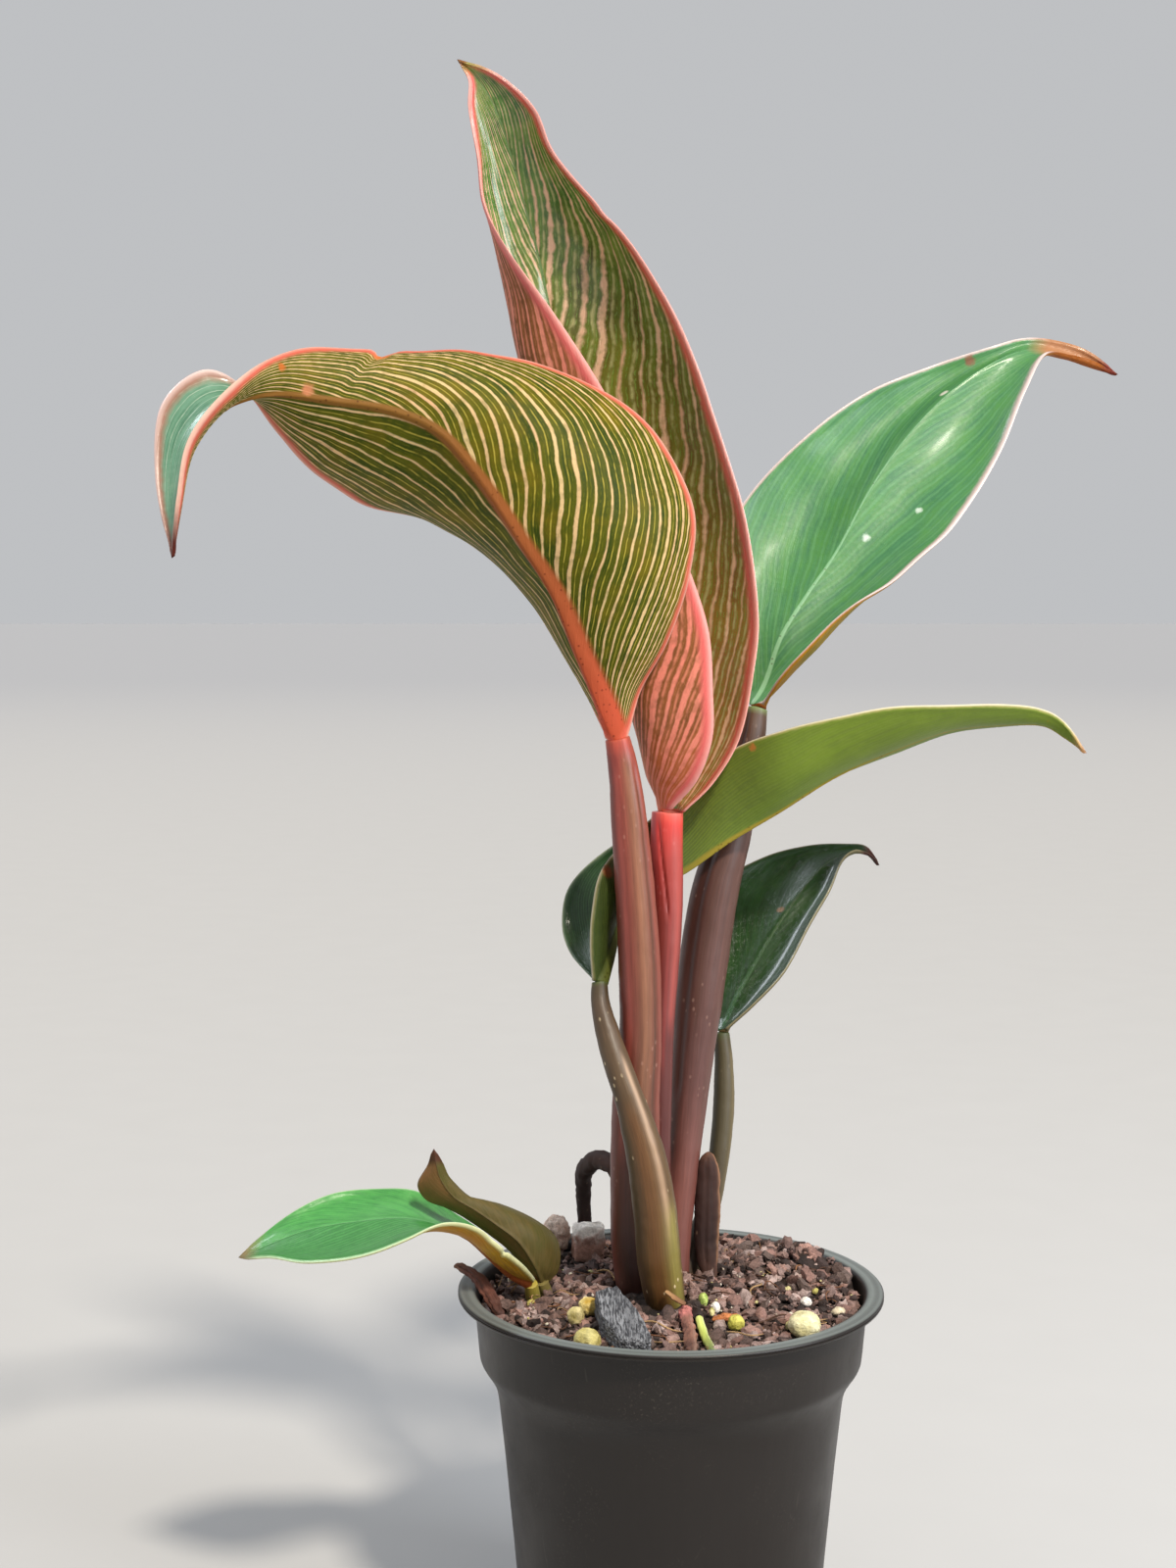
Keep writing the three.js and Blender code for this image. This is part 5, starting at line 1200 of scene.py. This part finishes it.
def makeMixBody():
    # Fills the pot; its top is torn up by noise and painted darker in its hollows and on the wall as shade,
    # so that dark gaps show between the crumbs
    around, topRings, walls = mix["around"], mix["topRings"], mix["walls"]
    steps = len(walls) + topRings
    newGrid(around, steps)
    body = named("mixBody")
    mesh = body.data
    places, tones = [0.0] * (3 * len(mesh.vertices)), [0.0] * (4 * len(mesh.vertices))
    low, high = colour(mix["ground"]), colour(mix["groundRaised"])
    for vertex in mesh.vertices:
        i = vertex.index
        step = round((vertex.co.y + 0.5) * steps)
        angle = 2 * math.pi * round((vertex.co.x + 0.5) * around) / around
        if step < len(walls):
            radius, z = walls[step]
        else:
            radius = mix["wallRadius"] * (1 - (step - len(walls)) / topRings)
        x, y = radius * math.cos(angle), radius * math.sin(angle)
        # darker in the hollows and on the wall, lighter on the raised tops: painted shade
        light = 0.3
        if step >= len(walls):
            rough = noise.fractal(Vector((x, y, 0)) / 2.6, 0.8, 2.1, 4)
            cells = noise.voronoi(Vector((x, y, 3)) / 2.4)[0][0]
            z = mixHeight(x, y) + 0.6 * rough + 0.9 * (0.45 - cells) - 0.5
            light = min(max(0.35 + 0.5 * rough + 0.6 * (0.4 - cells), 0), 1)
        places[3 * i:3 * i + 3] = (x * mm, y * mm, z * mm)
        tones[4 * i:4 * i + 4] = blended(low, high, light)
    mesh.vertices.foreach_set("co", places)
    addTones(mesh, tones)
    cleanUp(body, fill=True)
    bpy.ops.object.shade_smooth()
    mesh.materials.append(crumbSkin("potting mix: moist coir and bark dust", 0.95, 0.4))
    finishPiece(body, "potting_mix", "potting_mix")


def modelCrumbs(kind, seed):
    # A few lumps, modelled once each and then copied
    lumps = []
    for k in range(kind["masters"]):
        bpy.ops.object.select_all(action="DESELECT")
        bpy.ops.mesh.primitive_ico_sphere_add(subdivisions=2, radius=1)
        bpy.ops.object.mode_set(mode="EDIT")
        bpy.ops.transform.vertex_random(offset=1 - kind["roundness"], seed=seed + k, normal=0.3)
        bpy.ops.object.mode_set(mode="OBJECT")
        bpy.ops.object.shade_smooth_by_angle(angle=math.radians(45))
        lumps.append(bpy.context.object)
    return lumps


def modelFibres(kind, chance):
    # Crooked hairs of unit length
    hairs = []
    for k in range(kind["masters"]):
        newGrid(5, 10)
        hair = bpy.context.object
        bend = [chance.uniform(-0.25, 0.25) for _ in range(3)]
        for vertex in hair.data.vertices:
            t = vertex.co.y
            angle = 2 * math.pi * round((vertex.co.x + 0.5) * 5) / 5
            thin = mix["fibreHalf"] * (1 - (2 * t) ** 6 * 0.9)
            side = bend[0] * math.cos(3 * t) + bend[1] * math.sin(7 * t)
            lift = 0.25 * bend[2] * math.cos(5 * t)
            vertex.co = (t, side + thin * math.cos(angle), lift + thin * math.sin(angle))
        cleanUp(hair, distance=0.0001, fill=True)
        bpy.ops.object.shade_smooth()
        hairs.append(hair)
    return hairs


def scatter(name, masters, spots, material, slot):
    # Copies the masters to (place in mm, turn, shape, tone) spots and joins them to one piece
    copies = []
    for k, (place, turn, shape, tone) in enumerate(spots):
        copy = bpy.data.objects.new(name, masters[k % len(masters)].data.copy())
        bpy.context.scene.collection.objects.link(copy)
        turned = Euler(turn).to_matrix().to_4x4() @ Matrix.Diagonal((*shape, 1))
        copy.data.transform(Matrix.Scale(mm, 4) @ Matrix.Translation(place) @ turned)
        addTones(copy.data, list(tone) * len(copy.data.vertices))
        copies.append(copy)
    bpy.ops.object.select_all(action="DESELECT")
    for copy in copies:
        copy.select_set(True)
    bpy.context.view_layer.objects.active = copies[0]
    bpy.ops.object.join()
    piece = named(name)
    piece.data.materials.clear()
    piece.data.materials.append(material)
    finishPiece(piece, slot)
    for master in masters:
        bpy.data.objects.remove(master)


def drawSize(chance, kind):
    return kind["size"] + kind["spread"] * chance.random() ** kind["rarity"]


def onMix(chance, clear, within=mix["wallRadius"] - 0.6):
    # A random place on the mix that keeps clear of what stands or lies there
    while True:
        radius = within * math.sqrt(chance.random())
        angle = 2 * math.pi * chance.random()
        x, y = radius * math.cos(angle), radius * math.sin(angle)
        if all(math.hypot(x - sx, y - sy) > r + clear for sx, sy, r in standing + lying):
            return x, y


def makeCrumbs():
    kind = mix["crumbs"]
    chance = random.Random(41)
    spots = []
    for k in range(kind["count"]):
        size = drawSize(chance, kind)
        x, y = onMix(chance, size * 0.35)
        pile = riseAt(mix["pile"], x, y) * chance.random()
        z = mixHeight(x, y) + size * (chance.random() * 0.7 - 0.25) + pile
        shape = (size * (0.8 + 1.1 * chance.random() ** 2), size * (0.6 + 0.5 * chance.random()),
                 size * (0.4 + 0.5 * chance.random()))
        turn = [chance.uniform(-0.9, 0.9), chance.uniform(-0.9, 0.9), chance.uniform(0, 6.28)]
        tone = colour(chance.choice(mix["crumbTones"]))
        dim = 0.75 + 0.5 * chance.random()
        spots.append(((x, y, z), turn, shape, (tone[0] * dim, tone[1] * dim, tone[2] * dim, 1)))
    scatter("mixCrumbs", modelCrumbs(kind, 5), spots,
            crumbSkin("bark and coir crumbs: torn and matt", 0.9, 0.45), "potting_mix")


def makeGrit():
    kind = mix["grit"]
    chance = random.Random(17)
    spots = []
    for k in range(kind["count"]):
        size = drawSize(chance, kind)
        x, y = onMix(chance, 0.3)
        z = mixHeight(x, y) + 0.9 + 0.4 * chance.random()
        turn = [chance.uniform(0, 3) for _ in range(3)]
        tone = colour(chance.choice(mix["gritTones"]))
        spots.append(((x, y, z), turn, (size, size * 0.8, size * 0.7), tone))
    scatter("mixGrit", modelCrumbs(kind, 60), spots,
            crumbSkin("sand and perlite grit: dull grains", 0.8, 0.2), "perlite")


def makeFibres():
    # Coir fibres: short crooked hairs that lie on the crumbs
    kind = mix["fibres"]
    chance = random.Random(29)
    masters = modelFibres(kind, chance)
    spots = []
    for k in range(kind["count"]):
        size = drawSize(chance, kind)
        x, y = onMix(chance, 0.8, kind["within"])
        turn = [chance.uniform(-1, 1), chance.uniform(-0.12, 0.12), chance.uniform(0, 6.28)]
        tone = colour(chance.choice(mix["fibreTones"]))
        spots.append(((x, y, mixHeight(x, y) + 1.1), turn, (size, size, size), tone))
    scatter("coirFibres", masters, spots, crumbSkin("coir fibre: dry and matt", 0.85, 0.25), "potting_mix")


makeMixBody()
makeCrumbs()
makeGrit()
makeFibres()


# Roots, bract and sticks

def mixRows(places, radius):
    return [[x, y, mixHeight(x, y) + radius * 0.8, radius] for x, y in places]


roots = {
    "aerial_root": {
        "piece": "aerialRoot", "slot": "brown_root", "size": (28, 90), "ends": (0, 0), "lumps": (2.2, 0.3),
        "rows": [[-10, 2, 107, 2], [-13, 6.5, 110.5, 2.2], [-16.5, 13, 110.5, 2.2], [-19.6, 21, 106, 2.1],
                 [-20, 28.5, 99.5, 1.9], [-19.8, 33.5, 91, 1.7], [-19.5, 34.5, 83, 1.6],
                 [-19, 34.5, 76, 1.4]],
        "tones": [(0, "#3e241b"), (0.3, "#2f1a14"), (0.7, "#261511"), (1, "#402a20")],
    },
    "dry_bract": {
        "piece": "dryBract", "slot": "brown_root", "size": (36, 70), "ends": (1.2, 0), "lumps": (3, 0.25),
        "flat": 0.6,
        "rows": [[9.2, 11, 112.9, 0.8], [9.2, 11, 109.5, 2.4], [9.1, 10.5, 101, 3], [8.9, 10, 90, 2.7],
                 [9.5, 9, 83, 1.6]],
        "tones": [(0, "#5a3c2c"), (0.2, "#37201a"), (0.7, "#2a1814"), (1, "#4a3026")],
        "stripes": [(70, 14, 0, 0.9, "#8a6448", 0.8)],
        "grooves": [(-10, 8, 0.1, 0.9, 0.4), (25, 6, 0.1, 0.8, 0.3)],
    },
    "root_stub": {
        "piece": "rootStub", "slot": "brown_root", "size": (32, 90), "ends": (1.2, 0.6), "lumps": (1.5, 0.5),
        "facing": (0, 0, 1), "rows": mixRows([(2.5, -17), (3, -24), (3.2, -32), (3, -39)], 1.3),
        "tones": [(0, "#c9807a"), (0.16, "#b5706a"), (0.24, "#85584c"), (0.7, "#7a5444"), (1, "#54382e")],
        "stripes": [(-30, 20, 0.2, 1.1, "#4a3028", 0.6), (40, 16, 0.2, 1.1, "#a58474", 0.5)],
    },
    "green_root": {
        "piece": "greenRoot", "slot": "pale_root", "size": (20, 50), "ends": (0.6, 0.5), "lumps": (1.5, 0.12),
        "facing": (0, 0, 1), "rows": mixRows([(5.5, -21), (6.5, -28), (7.2, -34), (7.5, -40)], 0.9),
        "tones": [(0, "#c3cf74"), (0.3, "#aebb58"), (0.7, "#8f9a50"), (1, "#6a7a48")],
        "stripes": [(60, 30, 0, 1.1, "#e0e4b4", 0.6)],
    },
    "sheath_scrap": {
        "piece": "sheathScrap", "slot": "brown_root", "size": (20, 30), "ends": (0.5, 0.4),
        "lumps": (0.9, 0.2),
        "flat": 0.5, "facing": (0, 0, 1), "nodes": [],    # it replaces nothing
        "rows": [[-1.8, -17.5, 88.6, 0.7], [0.4, -18.4, 87.2, 1], [2.6, -19.6, 86.2, 0.8]],
        "tones": [(0, "#a07c54"), (0.5, "#7f5c3c"), (1, "#6b4a34")],
    },
    "bark_stick": {
        "piece": "barkStick", "slot": "bark", "size": (32, 50), "ends": (0.9, 0.8), "lumps": (1.5, 0.4),
        "flat": 0.7,
        "facing": (0, 0, 1), "rows": [[-49.5, 6, 87.5, 1], [-44.5, 0, 86.4, 1.5], [-41, -7, 83.9, 1.7],
                                      [-38.5, -13, 81.6, 1.2]],
        "tones": [(0, "#6e5040"), (0.2, "#553228"), (0.6, "#613a2e"), (1, "#452a22")],
        "stripes": [(-40, 16, 0, 1.1, "#3a2019", 0.7)],
        "grooves": [(10, 7, 0, 1, 0.4), (-60, 8, 0, 1, 0.35)],
    },
}

usualRoot = {"fibre": 0.3, "roughness": 0.75, "coat": 0, "pores": 0.3, "pore": "#a88a70", "denseEnds": True}
for node, look in roots.items():
    print("root", node)
    look = {**usualRoot, **look}
    root = makeTube(look["piece"], look["rows"], look)
    root.data.materials.append(stalkSkin(look["piece"] + ": dry, wrinkled bark", look))
    finishPiece(root, look["slot"], *look.get("nodes", [node]))


# Stones, perlite, clod, flake and bud

usualLump = {"power": 2, "fineness": 5, "pits": 0, "footFrom": -0.1, "turn": 0}


def makeLump(name, place, look):
    # A stone or lump from a ball of triangles, made blocky by its power and rough by noise
    look = {**usualLump, **look}
    bpy.ops.object.select_all(action="DESELECT")
    bpy.ops.mesh.primitive_ico_sphere_add(subdivisions=look["fineness"], radius=1)
    lump = named(name)
    spin = Matrix.Rotation(look["turn"], 3, "Z")
    size, height = look["lumps"]
    shift = Vector((len(name), 3, 7)) * 3.1      # so that no two pieces have the same noise
    tones = []
    for vertex in lump.data.vertices:
        way = vertex.co.normalized()
        block = sum(abs(c) ** look["power"] for c in way) ** (-1 / look["power"])
        spot = Vector([c * block * h for c, h in zip(way, look["half"])])
        rough = noise.fractal(spot / size + shift, 0.75, 2.1, 4)
        cells = noise.voronoi(spot / size * 1.4 + shift)[0][0]
        spot += way * (height * rough - look["pits"] * max(0, 0.35 - cells))
        vertex.co = (spin @ spot + Vector(place)) * mm
        tone = blended(colour(look["low"]), colour(look["high"]), min(max(0.5 + 0.7 * rough, 0), 1))
        if "foot" in look:
            sink = fade(-way.z + 0.3 * rough, look["footFrom"], look["footFrom"] + 0.5)
            tone = blended(tone, colour(look["foot"]), sink)
        tones += tone
    addTones(lump.data, tones)
    cleanUp(lump, distance=0.001 * mm)
    bpy.ops.object.shade_smooth()
    return lump


stone = {"slot": "pebble", "lumps": (2.6, 0.32), "low": "#b79a3c", "high": "#e6d692", "power": 2.3}
pale = {"slot": "perlite", "lumps": (0.9, 0.16), "low": "#cfc8bb", "high": "#f5f1ea", "pits": 0.35,
        "fineness": 4}
# half sizes, place, depth pressed into the mix and turn are as the model has them, in mm and radians
looseThings = {
    "pebble_large": {**stone, "half": (3.5, 3, 2.9), "place": (28.2, -26.5), "depth": 0.5, "turn": 0.4,
                     "high": "#f0ecc4", "low": "#cfc58c"},
    "pebble_front": {**stone, "half": (2.9, 2.8, 2.8), "place": (-19, -33), "depth": 0.4,
                     "low": "#a5984e", "high": "#d2c888", "foot": "#eee4c8"},
    "pebble_left": {**stone, "half": (2.4, 2, 2), "place": (-18.5, -14), "depth": 0.2, "turn": 0.3,
                    "low": "#b9983f"},
    "pebble_small": {**stone, "half": (1.9, 1.6, 1.9), "place": (-21.5, -19), "depth": 0.2, "turn": 0.2,
                     "low": "#a89a58", "high": "#ddd09a"},
    "pebble_yellow": {**stone, "half": (1.9, 1.7, 1.7), "place": (13.5, -24), "depth": 0.2, "turn": 0.1,
                      "low": "#a5a03a", "high": "#d2cc66"},
    "perlite_bead": {**pale, "half": (1.1, 1, 1.4), "place": (9.5, -15), "depth": 0.2},
    "perlite_grain": {**pale, "half": (1.3, 1.2, 1.1), "place": (30.5, -7), "depth": 0.1},
    "perlite_chip": {**pale, "half": (1.7, 1.3, 1), "place": (37, -14), "depth": 0.1, "turn": 0.6,
                     "low": "#b8a888", "high": "#e8dcc0"},
    "coir_clod": {"slot": "bark", "half": (3.3, 2.9, 4.9), "place": (-26.6, 31.3), "depth": 0.4, "turn": 0.3,
                  "lumps": (2.2, 0.7), "pits": 0.8, "low": "#ac8a78", "high": "#ead6c8"},
    "bark_flake": {"slot": "bark", "half": (3.4, 1.4, 0.9), "place": (11.5, -20), "depth": 0, "turn": 0.5,
                   "lumps": (1.6, 0.3), "low": "#8a4f30", "high": "#c07a4a"},
    "green_bud": {"slot": "pale_root", "half": (1.1, 1.1, 1.8), "place": (7, -11), "depth": 0.4,
                  "lumps": (1.4, 0.15), "low": "#7f9a3c", "high": "#c6d87a", "fineness": 4},
    "white_rock": {"slot": "rock", "half": (3.7, 2.8, 4.5), "place": (-18.8, 28), "height": mix["edge"] + 5.9,
                   "turn": 0.15, "lumps": (2.4, 0.5), "power": 9, "pits": 0.6, "low": "#cec6be",
                   "high": "#fbf6ee", "foot": "#a07a6c", "footFrom": -0.55},
}
print("stones and grains")
lumpSkins = {
    "pebble": crumbSkin("weathered yellow pumice: dull and finely pitted", 0.75, 0.2),
    "perlite": crumbSkin("expanded perlite: white foam glass", 0.8, 0.12),
    "bark": crumbSkin("broken bark: matt and fibrous", 0.9, 0.4),
    "pale_root": crumbSkin("swelling bud: smooth green skin", 0.5, 0.1),
    "rock": crumbSkin("weathered limestone lump", 0.9, 0.25),
}
for node, look in looseThings.items():
    x, y = look["place"]
    z = look["height"] if "height" in look else mixHeight(x, y) + look["half"][2] - look["depth"]
    lump = makeLump("rough_" + node, (x, y, z), look)
    lump.data.materials.append(lumpSkins[look["slot"]])
    finishPiece(lump, look["slot"], node)


# Charcoal chip

print("charcoal")
charcoal = {
    "cuts": 30,
    "squareness": 14,                # the higher, the sharper its edges
    "left": (-4.5, 1.1, 1.2),        # mm: the left side, and how far it draws in to the back and to the front
    "right": (3.7, 1.5, 0.5),
    "length": (12.75, 13.4),         # middle and half size
    "height": (2.25, 2.9),
    "skew": 0.8,                     # how far the ends slant
    "grainDepth": (0.25, 0.3, 0.35),
    "turn": 0.22,                    # radians
    "tilt": 0.12,
    "place": (-8.8, -39.5, -0.1),    # the front end, with its height from the mix's edge
    "coal": "#2f3034",
    "ash": "#8c8e92",
}


def charcoalSkin():
    # Wood charcoal: matt near-black with pale ash caught in its lengthwise grain
    material, addNode = newMaterial("wood charcoal: split along the grain")
    place = addNode("TexCoord", {}, "Object")
    turned = addNode("Mapping", {"Vector": place, "Rotation": (0, 0, -charcoal["turn"]),
                                 "Scale": (1, 0.06, 1)})
    grain = addNode("TexNoise", {"Vector": turned, "Scale": 1 / (0.42 * mm), "Detail": 3,
                                 "Roughness": 0.6}, "Fac")
    patch = addNode("TexNoise", {"Vector": turned, "Scale": 1 / (3 * mm), "Detail": 2}, "Fac")
    ash = addNode("MapRange", {0: grain, 1: 0.42, 2: 0.6})
    ashPatch = addNode("MapRange", {0: patch, 1: 0.35, 2: 0.65, 3: 0.35, 4: 0.95})
    ashShare = addNode("Math", {"operation": "MULTIPLY", 0: ash, 1: ashPatch})
    tone = addNode("Mix", {"data_type": "RGBA", 0: ashShare, 6: colour(charcoal["coal"]),
                           7: colour(charcoal["ash"])}, 2)
    bump = addNode("Bump", {"Height": grain, "Distance": 0.5 * mm, "Strength": 0.9})
    coal = addNode("BsdfPrincipled", {"Base Color": tone, "Roughness": 0.75, "Normal": bump})
    addNode("OutputMaterial", {"Surface": coal})
    return material


def makeCharcoal():
    # A split stick: its outline from above is narrower at both ends
    bpy.ops.object.select_all(action="DESELECT")
    bpy.ops.mesh.primitive_cube_add(size=2)
    chip = named("charcoalChip")
    bpy.ops.object.mode_set(mode="EDIT")
    bpy.ops.mesh.subdivide(number_cuts=charcoal["cuts"])
    bpy.ops.object.mode_set(mode="OBJECT")
    turn = Matrix.Rotation(charcoal["turn"], 3, "Z") @ Matrix.Rotation(charcoal["tilt"], 3, "X")
    placeX, placeY, above = charcoal["place"]
    foot = Vector((placeX, placeY, mix["edge"] + above))
    (leftX, leftBack, leftFront), (rightX, rightBack, rightFront) = charcoal["left"], charcoal["right"]
    (midLength, halfLength), (midHeight, halfHeight) = charcoal["length"], charcoal["height"]
    for vertex in chip.data.vertices:
        soften = sum(abs(c) ** charcoal["squareness"] for c in vertex.co) ** (-1 / charcoal["squareness"])
        a, b, c = [part * soften for part in vertex.co]
        left = leftX + leftBack * fade(b, 0, 1) + leftFront * fade(-b, 0, 1)
        right = rightX - rightBack * fade(b, -0.1, 1) - rightFront * fade(-b, 0.5, 1)
        x = left + (right - left) * (a + 1) / 2
        y = midLength + halfLength * b + charcoal["skew"] * a * b
        z = midHeight + halfHeight * c
        grain = noise.noise(Vector((x / 0.8, y / 6, z / 0.8)))
        grain += 0.6 * noise.noise(Vector((x / 0.35, y / 3, z / 0.4)))
        rough = Vector([part * depth for part, depth in zip((a, b, c), charcoal["grainDepth"])]) * grain
        vertex.co = (turn @ (Vector((x, y, z)) + rough) + foot) * mm
    cleanUp(chip, distance=0.001 * mm)
    bpy.ops.object.shade_smooth_by_angle(angle=math.radians(60))
    chip.data.materials.append(charcoalSkin())
    finishPiece(chip, "charcoal", "charcoal_chip")


makeCharcoal()


# Stems hidden in the mix, which keep the model's own shape

def corkSkin(name):
    # Old corky root: matt brown, with a fine crumbly grain
    material, addNode = newMaterial(name)
    place = addNode("TexCoord", {}, "Object")
    cork = addNode("TexNoise", {"Vector": place, "Scale": 1 / (1.5 * mm), "Detail": 3}, "Fac")
    tone = addNode("Mix", {"data_type": "RGBA", 0: cork, 6: colour("#3a2219"), 7: colour("#7a5a44")}, 2)
    bump = addNode("Bump", {"Height": cork, "Distance": 0.3 * mm})
    skin = addNode("BsdfPrincipled", {"Base Color": tone, "Roughness": 0.85, "Normal": bump})
    addNode("OutputMaterial", {"Surface": skin})
    return material


for name in ("stem", "side_stem"):
    material = corkSkin(name + ": brown corky root")
    for slot in bpy.data.objects[name].material_slots:
        slot.material = material
